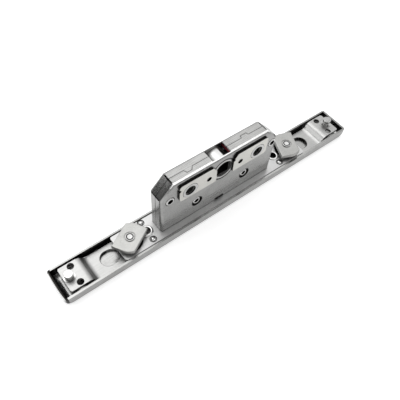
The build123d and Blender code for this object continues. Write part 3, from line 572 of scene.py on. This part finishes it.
# %% Dressing the solids
DRESS = {
    "rolled_tray_steel": ["channel"],
    "polished_strip_steel": ["left_slide_bar", "right_slide_bar"],
    "stamped_plate_steel": ["bridge_plate"],
    "brushed_case_steel": ["front_shell", "back_shell"],
    "tumbled_plate_steel": ["left_clamp_plate", "right_clamp_plate"],
    "satin_cover_steel": ["left_handle_plate", "right_handle_plate"],
    "turned_steel": [
        "left_end_stud", "right_end_stud", "left_clamp_screw", "right_clamp_screw",
        "left_clamp_washer", "right_clamp_washer", "left_threaded_bush", "right_threaded_bush",
        "guide_sleeves", "idler_pin",
    ],
    "rivet_steel": ["bridge_rivets", "fixing_bushes", "upper_case_rivets", "lower_case_rivets"],
    "sintered_gear_steel": ["spindle_hub", "upper_rack", "lower_rack", "idler_pinion"],
    "red_moulded_nylon": ["stop_pad"],
}
for finish, names in DRESS.items():
    for name in names:
        mesh = nodes[name].data
        mesh.materials.clear()
        mesh.materials.append(finishes[finish])
dressed = {name for names in DRESS.values() for name in names}
print("dressed", len(dressed), "of", len(nodes), "missing", sorted(set(nodes) - dressed))

# %% [markdown]
# Sheet metal never has a mathematically sharp edge: after pressing, the parts are
# tumbled with stones, which rounds every edge by one or two tenths of a millimetre. That
# small round is what catches a thin bright line of light, so the edges read as metal. The
# CAD meshes are loose triangles and stay as they are. A copy is merged, its flat faces
# are joined again, and a Bevel modifier rounds the edges that are sharper than 40
# degrees. Rounds this small could be made in the CAD model too, but they would multiply
# its faces.
#
# The slide bars are also joggled: their ends step up over two bends, which a press makes
# with a radius about as large as the sheet is thick. A first Bevel modifier rounds only
# those two lines, marked by an edge weight, and the second one then eases the edges. The
# Weighted Normal modifier keeps the flat faces flat in the light.

# %% Eased edges
def finished(name, mesh, finish, body):
    # a finished piece: its place is in its mesh, and it rides on the body of its solid
    piece = bpy.data.objects.new(name, mesh)
    bpy.context.scene.collection.objects.link(piece)
    mesh.materials.clear()
    mesh.materials.append(finishes[finish])
    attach(piece, body)
    return piece


BEND_ROUND = 1.5
BEND_SEGMENTS = 4
BEND_SLOPE = (40, 60)
EDGE_SEGMENTS = 2
SHARP_ANGLE = math.radians(40)
FLAT_ANGLE = math.radians(0.3)
SAME_POINT = 0.002
SAME_LINE = 0.1
ACROSS = 0.9
FLAT_FACES_FIRST = 100


def merged_copy(source):
    # the loose triangles joined to one surface with flat faces
    merged = bmesh.new()
    merged.from_mesh(source.data)
    bmesh.ops.remove_doubles(merged, verts=merged.verts, dist=SAME_POINT * MM)
    bmesh.ops.dissolve_limit(
        merged, angle_limit=FLAT_ANGLE, verts=merged.verts, edges=merged.edges, delimit={"MATERIAL"}
    )
    return merged


def mark_bends(merged, bends):
    # edges that run across the piece at a bend get the weight that the first bevel reads
    weight = merged.edges.layers.float.new("bevel_weight_edge")
    for edge in merged.edges:
        across = abs(edge.verts[1].co.y - edge.verts[0].co.y) > ACROSS * edge.calc_length()
        slope = math.degrees(edge.calc_face_angle())
        on_bend = min(abs(edge.verts[0].co.x - bend_x * MM) for bend_x in bends) < SAME_LINE * MM
        edge[weight] = 1.0 if across and on_bend and BEND_SLOPE[0] < slope < BEND_SLOPE[1] else 0.0


def eased_copy(name, round_mm, bends=()):
    # bends lists the bend lines across the piece, as their places along X in millimetres
    source = nodes[name]
    finish = next(f for f, names in DRESS.items() if name in names)
    merged = merged_copy(source)
    if bends:
        mark_bends(merged, bends)
    mesh = bpy.data.meshes.new("eased_" + name)
    merged.to_mesh(mesh)
    merged.free()
    piece = finished("eased_" + name, mesh, finish, source["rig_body"])
    if bends:
        bend = piece.modifiers.new("soft_bend", "BEVEL")
        bend.width = BEND_ROUND * MM
        bend.segments = BEND_SEGMENTS
        bend.limit_method = "WEIGHT"
        bend.use_clamp_overlap = False
    bevel = piece.modifiers.new("tumbled_edge", "BEVEL")
    bevel.width = round_mm * MM
    bevel.segments = EDGE_SEGMENTS
    bevel.limit_method = "ANGLE"
    bevel.angle_limit = SHARP_ANGLE
    bevel.use_clamp_overlap = True
    # large flat faces keep their own direction of shine, and only the rounded edges blend
    shine = piece.modifiers.new("flat_faces_lead", "WEIGHTED_NORMAL")
    shine.weight = FLAT_FACES_FIRST
    shine.keep_sharp = True
    for face in mesh.polygons:
        face.use_smooth = True
    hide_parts(name)
    return piece


print("bends are rounded by", BEND_ROUND, "mm")

# %% [markdown]
# The round differs with the piece: it is widest on the channel's folded sheet, finest on
# the bridge plate, and between the two elsewhere. A round could be set by hand on every
# object, but one table keeps these choices side by side.

# %% The eased pieces
EASED = {
    "channel": 0.25, "bridge_plate": 0.12, "front_shell": 0.15, "back_shell": 0.15,
    "left_handle_plate": 0.22, "right_handle_plate": 0.22,
    "left_clamp_plate": 0.2, "right_clamp_plate": 0.2,
}
BAR_EDGE = 0.2
JOG_LOW_X = 76.7
JOG_HIGH_X = 79.8
eased = {name: eased_copy(name, round_mm) for name, round_mm in EASED.items()}
for name, side in (("left_slide_bar", -1), ("right_slide_bar", 1)):
    # the raised end is joggled up over two soft bends
    eased[name] = eased_copy(name, BAR_EDGE, [side * JOG_LOW_X, side * JOG_HIGH_X])
print("eased", {name: len(piece.data.polygons) for name, piece in eased.items()})

# %% [markdown]
# The next pieces repeat: two pairs of tubular case rivets, two eyelets, four solid
# rivets and two screw threads. Each kind is one Geometry Nodes tree with its sizes as
# named inputs. The helper below fills a tree's inputs by their identifiers, evaluates the
# object once, and keeps the result as a plain mesh, because an export drops instances.

# %% Growing a repeated piece
def new_tree(name, sizes):
    tree = bpy.data.node_groups.new(name, "GeometryNodeTree")
    for label, value in sizes.items():
        kind = {bool: "NodeSocketBool", int: "NodeSocketInt", float: "NodeSocketFloat"}[type(value)]
        socket = tree.interface.new_socket(label, in_out="INPUT", socket_type=kind)
        socket.default_value = value
    tree.interface.new_socket("Finish", in_out="INPUT", socket_type="NodeSocketMaterial")
    tree.interface.new_socket("Geometry", in_out="OUTPUT", socket_type="NodeSocketGeometry")
    given = add_node(tree, "NodeGroupInput").outputs
    return tree, given


def middle(tree, first, second):
    return math_of(tree, math_of(tree, first, second, "ADD"), 0.5, "MULTIPLY")


def vector_of(tree, **parts):
    # X, Y and Z are sockets or plain numbers, and a part that isn't given is zero
    values = {axis: v for axis, v in parts.items() if isinstance(v, float)}
    links = {axis: v for axis, v in parts.items() if axis not in values}
    return add_node(tree, "ShaderNodeCombineXYZ", values=values, links=links).outputs["Vector"]


def swept(tree, path, profile, **values):
    # values are the node's own, such as Fill_Caps=True
    return add_node(
        tree, "GeometryNodeCurveToMesh",
        values={label.replace("_", " "): v for label, v in values.items()},
        links={"Curve": path, "Profile Curve": profile},
    ).outputs["Mesh"]


def end_tree(tree, given, geometry):
    solid = add_node(tree, "GeometryNodeRealizeInstances", links={"Geometry": geometry})
    coated = add_node(
        tree, "GeometryNodeSetMaterial",
        links={"Geometry": solid.outputs["Geometry"], "Material": given["Finish"]},
    )
    add_node(tree, "NodeGroupOutput", links={"Geometry": coated.outputs["Geometry"]})


def grow(name, tree, sizes, finish, body):
    seed = bpy.data.objects.new(name, bpy.data.meshes.new(name + "_seed"))
    bpy.context.scene.collection.objects.link(seed)
    nodes_modifier = seed.modifiers.new("grow", "NODES")
    nodes_modifier.node_group = tree
    wanted = dict(sizes, Finish=finishes[finish])
    for item in tree.interface.items_tree:
        if item.in_out == "INPUT" and item.name in wanted:
            nodes_modifier[item.identifier] = wanted[item.name]
    evaluated = seed.evaluated_get(bpy.context.evaluated_depsgraph_get())
    mesh = bpy.data.meshes.new_from_object(evaluated)
    seed.modifiers.remove(nodes_modifier)
    bpy.data.objects.remove(seed)
    outwards = bmesh.new()
    outwards.from_mesh(mesh)
    bmesh.ops.recalc_face_normals(outwards, faces=outwards.faces)
    volume = outwards.calc_volume(signed=True) / MM ** 3
    outwards.to_mesh(mesh)
    outwards.free()
    for face in mesh.polygons:
        face.use_smooth = True
    mesh.set_sharp_from_angle(angle=SHARP_ANGLE)
    print(name, len(mesh.polygons), "faces,", round(volume, 1), "mm3")
    return finished(name, mesh, finish, body)


print("an edge is sharp from", round(math.degrees(SHARP_ANGLE)), "degrees")

# %% [markdown]
# A tubular rivet is a short tube whose ends are rolled outwards, so each end shows a
# rounded rim with a hole. It could be turned from a profile with a Screw modifier; here
# its parts are curves swept round a circle, so every radius is an input that can be
# changed afterwards. The tube is a rectangle swept round its middle radius.

# %% The tube
CASE_DEPTH = 9.45
ROLLED = {
    "Bore Radius": 1.3 * MM, "Tube Radius": 1.6 * MM, "Mouth Radius": 1.3 * MM,
    "Rim Radius": 2.4 * MM, "Rim Height": 0.4 * MM, "Tube Length": CASE_DEPTH * MM,
    "Spacing": 2 * CASE_RIVET_X * MM, "Both Ends": True, "Tilt": math.pi / 2,
    "Centre Y": 0.0, "Centre Z": 0.0, "Segments": 48,
}
rolled, size = new_tree("rolled_rivet_pair", ROLLED)
tube_ring = add_node(
    rolled, "GeometryNodeCurvePrimitiveCircle",
    links={
        "Resolution": size["Segments"],
        "Radius": middle(rolled, size["Bore Radius"], size["Tube Radius"]),
    },
)
tube_cut = add_node(
    rolled, "GeometryNodeCurvePrimitiveQuadrilateral",
    links={
        "Width": math_of(rolled, size["Tube Radius"], size["Bore Radius"], "SUBTRACT"),
        "Height": size["Tube Length"],
    },
)
tube = swept(rolled, tube_ring.outputs["Curve"], tube_cut.outputs["Curve"])
print("the tree has", len(ROLLED), "named sizes")

# %% [markdown]
# The rolled rim is half an ellipse swept round a wider circle. Half a torus would be as
# high as it is wide, but a rolled rim is flatter, so a half circle is scaled to the rim's
# width and height, and closed along its flat side. The second rim is the first one turned
# over, and a switch leaves it out where the lower end is plain.

# %% The rolled rims
RIM_STEPS = 13
rim_width = math_of(rolled, size["Rim Radius"], size["Mouth Radius"], "SUBTRACT")
rim_ring = add_node(
    rolled, "GeometryNodeCurvePrimitiveCircle",
    links={
        "Resolution": size["Segments"],
        "Radius": middle(rolled, size["Mouth Radius"], size["Rim Radius"]),
    },
)
rim_arc = add_node(
    rolled, "GeometryNodeCurveArc",
    values={"Resolution": RIM_STEPS, "Radius": 1.0, "Start Angle": math.pi, "Sweep Angle": math.pi},
)
rim_half = math_of(rolled, rim_width, 0.5, "MULTIPLY")
rim_scale = vector_of(rolled, X=rim_half, Y=size["Rim Height"], Z=1.0)
rim_cut = add_node(
    rolled, "GeometryNodeTransform",
    links={"Geometry": rim_arc.outputs["Curve"], "Scale": rim_scale},
)
rim_closed = add_node(
    rolled, "GeometryNodeSetSplineCyclic", values={"Cyclic": True},
    links={"Geometry": rim_cut.outputs["Geometry"]},
)
rim_rise = vector_of(rolled, Z=math_of(rolled, size["Tube Length"], 0.5, "MULTIPLY"))
upper_rim = add_node(
    rolled, "GeometryNodeTransform",
    links={
        "Geometry": swept(rolled, rim_ring.outputs["Curve"], rim_closed.outputs["Geometry"]),
        "Translation": rim_rise,
    },
)
lower_rim = add_node(
    rolled, "GeometryNodeTransform", values={"Rotation": (math.pi, 0.0, 0.0)},
    links={"Geometry": upper_rim.outputs["Geometry"]},
)
lower_kept = add_node(
    rolled, "GeometryNodeSwitch", settings={"input_type": "GEOMETRY"},
    links={"Switch": size["Both Ends"], "True": lower_rim.outputs["Geometry"]},
)
one_rivet = add_node(rolled, "GeometryNodeJoinGeometry")
for part in (tube, upper_rim.outputs["Geometry"], lower_kept.outputs["Output"]):
    rolled.links.new(part, one_rivet.inputs["Geometry"])
print("a rim has", RIM_STEPS, "steps across and", ROLLED["Segments"], "round")

# %% [markdown]
# Rivets come in pairs, one on each side of the middle. Two copied objects would work, but
# then a change has to be made twice. Here a line of two points carries the one rivet as
# an instance, laid over by the tilt, and the end of the tree makes it real.

# %% The pair
def pair_points(tree, sizes, start_y):
    # two points, the same distance to the left and to the right of the middle
    start = vector_of(
        tree, X=math_of(tree, sizes["Spacing"], -0.5, "MULTIPLY"), Y=start_y, Z=sizes["Centre Z"]
    )
    return add_node(
        tree, "GeometryNodeMeshLine", values={"Count": 2},
        links={"Start Location": start, "Offset": vector_of(tree, X=sizes["Spacing"])},
    ).outputs["Mesh"]


pair = add_node(
    rolled, "GeometryNodeInstanceOnPoints",
    links={
        "Points": pair_points(rolled, size, size["Centre Y"]),
        "Instance": one_rivet.outputs["Geometry"],
        "Rotation": vector_of(rolled, X=size["Tilt"]),
    },
)
end_tree(rolled, size, pair.outputs["Instances"])
print("the rivet tree has", len(rolled.nodes), "nodes")

# %% [markdown]
# The same tree makes three kinds of piece. The case rivets are wide tubes with their rims
# on the case. The guide rivets are thinner and sit in dimples of the case. The eyelets of
# the bridge plate stand upright, and their lower end is plain.

# %% Case rivets, guide rivets and eyelets
CASE_MID_Y = -0.325
DIMPLE_DEPTH = 0.9
BRIDGE_TOP_Z = 7.0
case_rivets = grow(
    "rolled_case_rivets", rolled,
    {
        "Tube Length": CASE_DEPTH * MM, "Spacing": 2 * CASE_RIVET_X * MM,
        "Centre Y": CASE_MID_Y * MM, "Centre Z": CASE_RIVET_Z * MM,
    },
    "rivet_steel", "lock_body",
)
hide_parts("upper_case_rivets")
guide_rivets = grow(
    "rolled_guide_rivets", rolled,
    {
        "Bore Radius": 0.75 * MM, "Tube Radius": 1.15 * MM, "Mouth Radius": 1.15 * MM,
        "Rim Radius": 2.3 * MM, "Rim Height": 0.6 * MM,
        "Tube Length": (CASE_DEPTH - 2 * DIMPLE_DEPTH) * MM, "Spacing": 2 * GUIDE_RIVET_X * MM,
        "Centre Y": CASE_MID_Y * MM, "Centre Z": GUIDE_RIVET_Z * MM,
    },
    "rivet_steel", "lock_body",
)
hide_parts("lower_case_rivets")
eyelets = grow(
    "rolled_eyelets", rolled,
    {
        "Bore Radius": 1.8 * MM, "Tube Radius": 2.4 * MM, "Mouth Radius": 1.8 * MM,
        "Rim Radius": 3.4 * MM, "Rim Height": 0.5 * MM,
        "Tube Length": BRIDGE_TOP_Z * MM, "Spacing": 2 * EYELET_X * MM,
        "Centre Y": 0.0, "Centre Z": BRIDGE_TOP_Z / 2 * MM, "Both Ends": False, "Tilt": 0.0,
    },
    "rivet_steel", "lock_body",
)
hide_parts("fixing_bushes")
for piece in (case_rivets, guide_rivets, eyelets):
    print(piece.name, "box", [round(v, 4) for v in piece.dimensions])

# %% [markdown]
# Four solid rivets hold the bridge plate on shoulders above the channel. Each head was
# struck to a low dome. A dome is the upper half of a ball: the lower half of a UV sphere
# is pushed flat, and the ball is squashed to the head's height. A cone or a bevelled
# cylinder would show a flat top or an edge in the light, where a struck head has none.

# %% The dome
DOMED = {
    "Head Radius": 1.35 * MM, "Head Height": 0.95 * MM, "Head Base": 6.65 * MM,
    "Shoulder Radius": 1.3 * MM, "Shoulder From": 1.2 * MM, "Shoulder To": 5.8 * MM,
    "Shank Radius": 0.8 * MM, "Spacing X": 2 * EYELET_X * MM,
    "Spacing Y": 2 * BRIDGE_RIVET_Y * MM, "Segments": 32,
}
BALL_RINGS = 16
domed, size = new_tree("domed_rivet_group", DOMED)
ball = add_node(
    domed, "GeometryNodeMeshUVSphere", values={"Rings": BALL_RINGS, "Radius": 1.0},
    links={"Segments": size["Segments"]},
)
ball_place = add_node(domed, "GeometryNodeInputPosition")
ball_parts = parts_of(domed, ball_place.outputs["Position"])
raised = math_of(domed, ball_parts["Z"], 0.0, "MAXIMUM")
half_ball = add_node(
    domed, "GeometryNodeSetPosition",
    links={
        "Geometry": ball.outputs["Mesh"],
        "Position": vector_of(domed, X=ball_parts["X"], Y=ball_parts["Y"], Z=raised),
    },
)
head_radius = size["Head Radius"]
dome = add_node(
    domed, "GeometryNodeTransform",
    links={
        "Geometry": half_ball.outputs["Geometry"],
        "Scale": vector_of(domed, X=head_radius, Y=head_radius, Z=size["Head Height"]),
        "Translation": vector_of(domed, Z=size["Head Base"]),
    },
)
print("a dome stands", round(DOMED["Head Height"] / MM, 2), "mm above its base")

# %% [markdown]
# Under the head, plain cylinders make the shoulder and the shank above and below it. A
# grid of four points then places the rivets, so their two spacings stay two numbers.

# %% Shoulder, shank and four places
one_domed = add_node(domed, "GeometryNodeJoinGeometry")
domed.links.new(dome.outputs["Geometry"], one_domed.inputs["Geometry"])
for radius, low, high in (
    (size["Shank Radius"], 0.0, size["Shoulder From"]),
    (size["Shoulder Radius"], size["Shoulder From"], size["Shoulder To"]),
    (size["Shank Radius"], size["Shoulder To"], size["Head Base"]),
):
    rod = add_node(
        domed, "GeometryNodeMeshCylinder",
        links={
            "Vertices": size["Segments"], "Radius": radius,
            "Depth": math_of(domed, high, low, "SUBTRACT"),
        },
    )
    rod_placed = add_node(
        domed, "GeometryNodeTransform",
        links={
            "Geometry": rod.outputs["Mesh"],
            "Translation": vector_of(domed, Z=middle(domed, high, low)),
        },
    )
    domed.links.new(rod_placed.outputs["Geometry"], one_domed.inputs["Geometry"])
four_points = add_node(
    domed, "GeometryNodeMeshGrid", values={"Vertices X": 2, "Vertices Y": 2},
    links={"Size X": size["Spacing X"], "Size Y": size["Spacing Y"]},
)
four = add_node(
    domed, "GeometryNodeInstanceOnPoints",
    links={"Points": four_points.outputs["Mesh"], "Instance": one_domed.outputs["Geometry"]},
)
end_tree(domed, size, four.outputs["Instances"])
bridge_heads = grow("domed_bridge_rivets", domed, {}, "rivet_steel", "lock_body")
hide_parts("bridge_rivets")
print("rivet group box", [round(v, 4) for v in bridge_heads.dimensions])

# %% [markdown]
# The two bushes behind the handle plates are threaded for M6 screws. In the CAD model
# the bore has the thread's outer radius, so here the ridge of the thread is added: a
# triangle swept along a spiral with the standard pitch of 1 mm, its tip pointing inwards.
# A bump texture would give the same lines, but the mouth of the bore would stay round.

# %% The thread's ridge
THREAD = {
    "Outer Radius": 3.0 * MM, "Depth": 0.54 * MM, "Pitch": 1.0 * MM, "Turns": 9.6,
    "Spacing": 2 * HANDLE_SCREW_X * MM, "Start Y": 3.9 * MM, "Centre Z": HANDLE_SCREW_Z * MM,
}
TURN_STEPS = 32
# a triangle in a unit circle is 1.5 deep and 1.732 wide, and its middle is a third of its
# depth from its base; the ridge takes seven eighths of the pitch
TRIANGLE_DEPTH = 1.5
TRIANGLE_WIDTH = 1.732
RIDGE_SHARE = 0.875
thread, size = new_tree("inner_thread_pair", THREAD)
spiral = add_node(
    thread, "GeometryNodeCurveSpiral", values={"Resolution": TURN_STEPS},
    links={
        "Rotations": size["Turns"], "Start Radius": size["Outer Radius"],
        "End Radius": size["Outer Radius"],
        "Height": math_of(thread, size["Turns"], size["Pitch"], "MULTIPLY"),
    },
)
upright = add_node(
    thread, "GeometryNodeSetCurveNormal", settings={"mode": "Z_UP"},
    links={"Curve": spiral.outputs["Curve"]},
)
flank_circle = add_node(
    thread, "GeometryNodeCurvePrimitiveCircle", values={"Resolution": 3, "Radius": 1.0}
)
flank_scale = vector_of(
    thread,
    X=math_of(thread, size["Depth"], 1 / TRIANGLE_DEPTH, "MULTIPLY"),
    Y=math_of(thread, size["Pitch"], RIDGE_SHARE / TRIANGLE_WIDTH, "MULTIPLY"),
    Z=1.0,
)
flank = add_node(
    thread, "GeometryNodeTransform",
    links={
        "Geometry": flank_circle.outputs["Curve"], "Scale": flank_scale,
        "Translation": vector_of(thread, X=math_of(thread, size["Depth"], 1 / 3, "MULTIPLY")),
    },
)
ridge = swept(thread, upright.outputs["Curve"], flank.outputs["Geometry"], Fill_Caps=True)
print("the ridge makes", THREAD["Turns"], "turns of", TURN_STEPS, "steps")

# %% [markdown]
# The pair of points that carried the rivets carries the two ridges as well, each laid
# over so that its spiral runs along the bore.

# %% The two threads
threads_laid = add_node(
    thread, "GeometryNodeInstanceOnPoints", values={"Rotation": (math.pi / 2, 0.0, 0.0)},
    links={"Points": pair_points(thread, size, size["Start Y"]), "Instance": ridge},
)
end_tree(thread, size, threads_laid.outputs["Instances"])
screw_threads = grow("bush_screw_threads", thread, {}, "cut_thread_steel", "lock_body")
print("threads box", [round(v, 4) for v in screw_threads.dimensions])

# %% [markdown]
# The studio is plain: a pale floor, a white background and soft light. Bright metal
# shows what stands round it more than its own colour, so the room matters as much as the
# finish. The background's white could come from strong light, but that would also burn
# out the lock. It comes from the Light Path node instead, which tells the rays that show
# the background from the rays that carry light to the lock.

# %% Rays that show the background
WHITE = colour("#ffffff")


def seen_directly(tree):
    # 1 for rays straight from the camera, mirrored or through glass
    path = add_node(tree, "ShaderNodeLightPath")
    total = path.outputs["Is Camera Ray"]
    for other in ("Is Glossy Ray", "Is Transmission Ray"):
        total = add_node(
            tree, "ShaderNodeMath", settings={"operation": "ADD", "use_clamp": True},
            links={0: total, 1: path.outputs[other]},
        ).outputs["Value"]
    return total


def blend(tree, share, first, second):
    mix = add_node(tree, "ShaderNodeMixShader", links={0: share, 1: first, 2: second})
    return mix.outputs["Shader"]


def plain_sheet(name, corners):
    # one flat face of the studio, with corners in metres
    mesh = bpy.data.meshes.new(name)
    mesh.from_pydata(corners, [], [(0, 1, 2, 3)])
    sheet = bpy.data.objects.new(name, mesh)
    bpy.context.scene.collection.objects.link(sheet)
    return sheet


print("white is", WHITE[:3], "in linear light")

# %% [markdown]
# The floor comes first. It is a matt pale sheet that keeps the lock's shadow, and where
# it is seen directly or mirrored, some light of its own lifts it to plain white.

# %% Floor
FLOOR_REACH = 3.0
FLOOR_BELOW = 0.0002
PAPER_LIFT = 0.6
PAPER_FIBRE_MM = 2
floor = plain_sheet("pale_floor", [
    (-FLOOR_REACH, -FLOOR_REACH, 0), (FLOOR_REACH, -FLOOR_REACH, 0),
    (FLOOR_REACH, FLOOR_REACH, 0), (-FLOOR_REACH, FLOOR_REACH, 0),
])
floor.location.z = -FLOOR_BELOW
paper, paper_tree = new_material("pale_paper")
paper_place = add_node(paper_tree, "ShaderNodeTexCoord")
paper_fibre = add_node(
    paper_tree, "ShaderNodeTexNoise",
    values={"Scale": 1 / (PAPER_FIBRE_MM * MM), "Detail": 2.0},
    links={"Vector": paper_place.outputs["Object"]},
)
paper_tone = add_node(paper_tree, "ShaderNodeValToRGB", links={"Fac": paper_fibre.outputs["Fac"]})
paper_tone.color_ramp.elements[0].color = colour("#f6f6f6")
paper_tone.color_ramp.elements[1].color = colour("#fbfbfb")
paper_shader = add_node(
    paper_tree, "ShaderNodeBsdfPrincipled",
    values={"Roughness": 0.9, "Specular IOR Level": 0.0},
    links={"Base Color": paper_tone.outputs["Color"]},
)
paper_white = add_node(
    paper_tree, "ShaderNodeEmission", values={"Color": WHITE, "Strength": PAPER_LIFT}
)
paper_lift = add_node(
    paper_tree, "ShaderNodeAddShader",
    links={0: paper_shader.outputs["BSDF"], 1: paper_white.outputs["Emission"]},
)
paper_seen = blend(
    paper_tree, seen_directly(paper_tree),
    paper_shader.outputs["BSDF"], paper_lift.outputs["Shader"],
)
add_node(paper_tree, "ShaderNodeOutputMaterial", links={"Surface": paper_seen})
floor.data.materials.append(paper)
floor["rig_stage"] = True
print("floor", 2 * FLOOR_REACH, "m wide, lifted by", PAPER_LIFT)

# %% [markdown]
# The world lights the lock at a plain level. Rays that show the background see a strength
# of 1, which is white, and the light on the lock stays lower, so no colour is washed out.

# %% World
WORLD_LIGHT = 0.35
world = bpy.data.worlds.new("studio_world")
bpy.context.scene.world = world
world.use_nodes = True
air = world.node_tree
air.nodes.clear()
air_white = add_node(air, "ShaderNodeBackground", values={"Color": WHITE, "Strength": 1.0})
air_plain = add_node(air, "ShaderNodeBackground", values={"Color": WHITE, "Strength": WORLD_LIGHT})
air_mix = blend(
    air, seen_directly(air), air_plain.outputs["Background"], air_white.outputs["Background"]
)
add_node(air, "ShaderNodeOutputWorld", links={"Surface": air_mix})
print("world light", WORLD_LIGHT)

# %% [markdown]
# A photographer puts dark cards beside bright metal, since an edge shows only where light
# meets dark. A darker finish would be dark from every side; a card darkens only what
# mirrors it. The front card darkens the lower sides, the left card the faces that look
# to the left, and a small flag keeps the left lamp off the case's chamfer. The cards are
# felt with a fine nap. Rays straight from the camera pass through them, so the
# background stays white from every side.

# %% Dark cards
NAP_MM = 3


def dark_card(name, corners_mm):
    card = plain_sheet(name, [tuple(v * MM for v in corner) for corner in corners_mm])
    felt, tree = new_material(name + "_felt")
    place = add_node(tree, "ShaderNodeTexCoord")
    nap = add_node(
        tree, "ShaderNodeTexNoise",
        values={"Scale": 1 / (NAP_MM * MM), "Detail": 2.0},
        links={"Vector": place.outputs["Object"]},
    )
    tone = add_node(tree, "ShaderNodeValToRGB", links={"Fac": nap.outputs["Fac"]})
    tone.color_ramp.elements[0].color = colour("#1a1a1a")
    tone.color_ramp.elements[1].color = colour("#262626")
    cloth = add_node(
        tree, "ShaderNodeBsdfPrincipled",
        values={"Roughness": 1.0, "Specular IOR Level": 0.0},
        links={"Base Color": tone.outputs["Color"]},
    )
    rays = add_node(tree, "ShaderNodeLightPath")
    clear = add_node(tree, "ShaderNodeBsdfTransparent")
    seen = blend(tree, rays.outputs["Is Camera Ray"], cloth.outputs["BSDF"], clear.outputs["BSDF"])
    add_node(tree, "ShaderNodeOutputMaterial", links={"Surface": seen})
    card.data.materials.append(felt)
    card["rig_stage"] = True
    print(name, [round(v, 3) for v in card.dimensions], "m")


dark_card("front_card", [(-250, -650, 0), (850, -650, 0), (850, -650, 160), (-250, -650, 160)])
dark_card("left_card", [(-720, -150, 100), (-720, 850, 100), (-720, 850, 760), (-720, -150, 760)])
dark_card("chamfer_flag", [(-125, 26, 56), (-125, 62, 56), (-125, 62, 100), (-125, 26, 100)])

# %% [markdown]
# Four soft lamps. A bare bulb would leave a hard white spot on every bend, so each lamp
# is an area lamp. The large one above and behind gives the flat tops their even tone. The
# key, to the left of it, brightens the clamp plates and the left bar. The small left one
# stands where the right bar's ramp mirrors it, and makes that ramp the white band that
# the photograph shows. The front one lights the bends along the case's front.

# %% Lamps
def soft_lamp(name, place_mm, aim_mm, size_mm, watts):
    data = bpy.data.lights.new(name, "AREA")
    data.shape = "RECTANGLE"
    data.size = size_mm[0] * MM
    data.size_y = size_mm[1] * MM
    data.energy = watts
    lamp = bpy.data.objects.new(name, data)
    bpy.context.scene.collection.objects.link(lamp)
    start = Vector(v * MM for v in place_mm)
    aim = Vector(v * MM for v in aim_mm)
    lamp.location = start
    lamp.rotation_euler = (start - aim).to_track_quat("Z", "Y").to_euler()
    print(name, "stands", round((start - aim).length, 2), "m away")


soft_lamp("overhead_softbox", (150, 330, 650), (150, 0, 0), (900, 600), 2.0)
soft_lamp("key_softbox", (-130, 330, 620), (0, 0, 0), (300, 400), 0.62)
soft_lamp("left_softbox", (-549, 275, 334), (78, 0, 5), (200, 140), 0.8)
soft_lamp("front_softbox", (280, -375, 585), (0, 0, 20), (500, 120), 0.6)
bpy.context.scene.view_settings.view_transform = "Standard"

# %% Finish
low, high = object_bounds()
print("visual box", [round(v, 4) for v in low], [round(v, 4) for v in high])
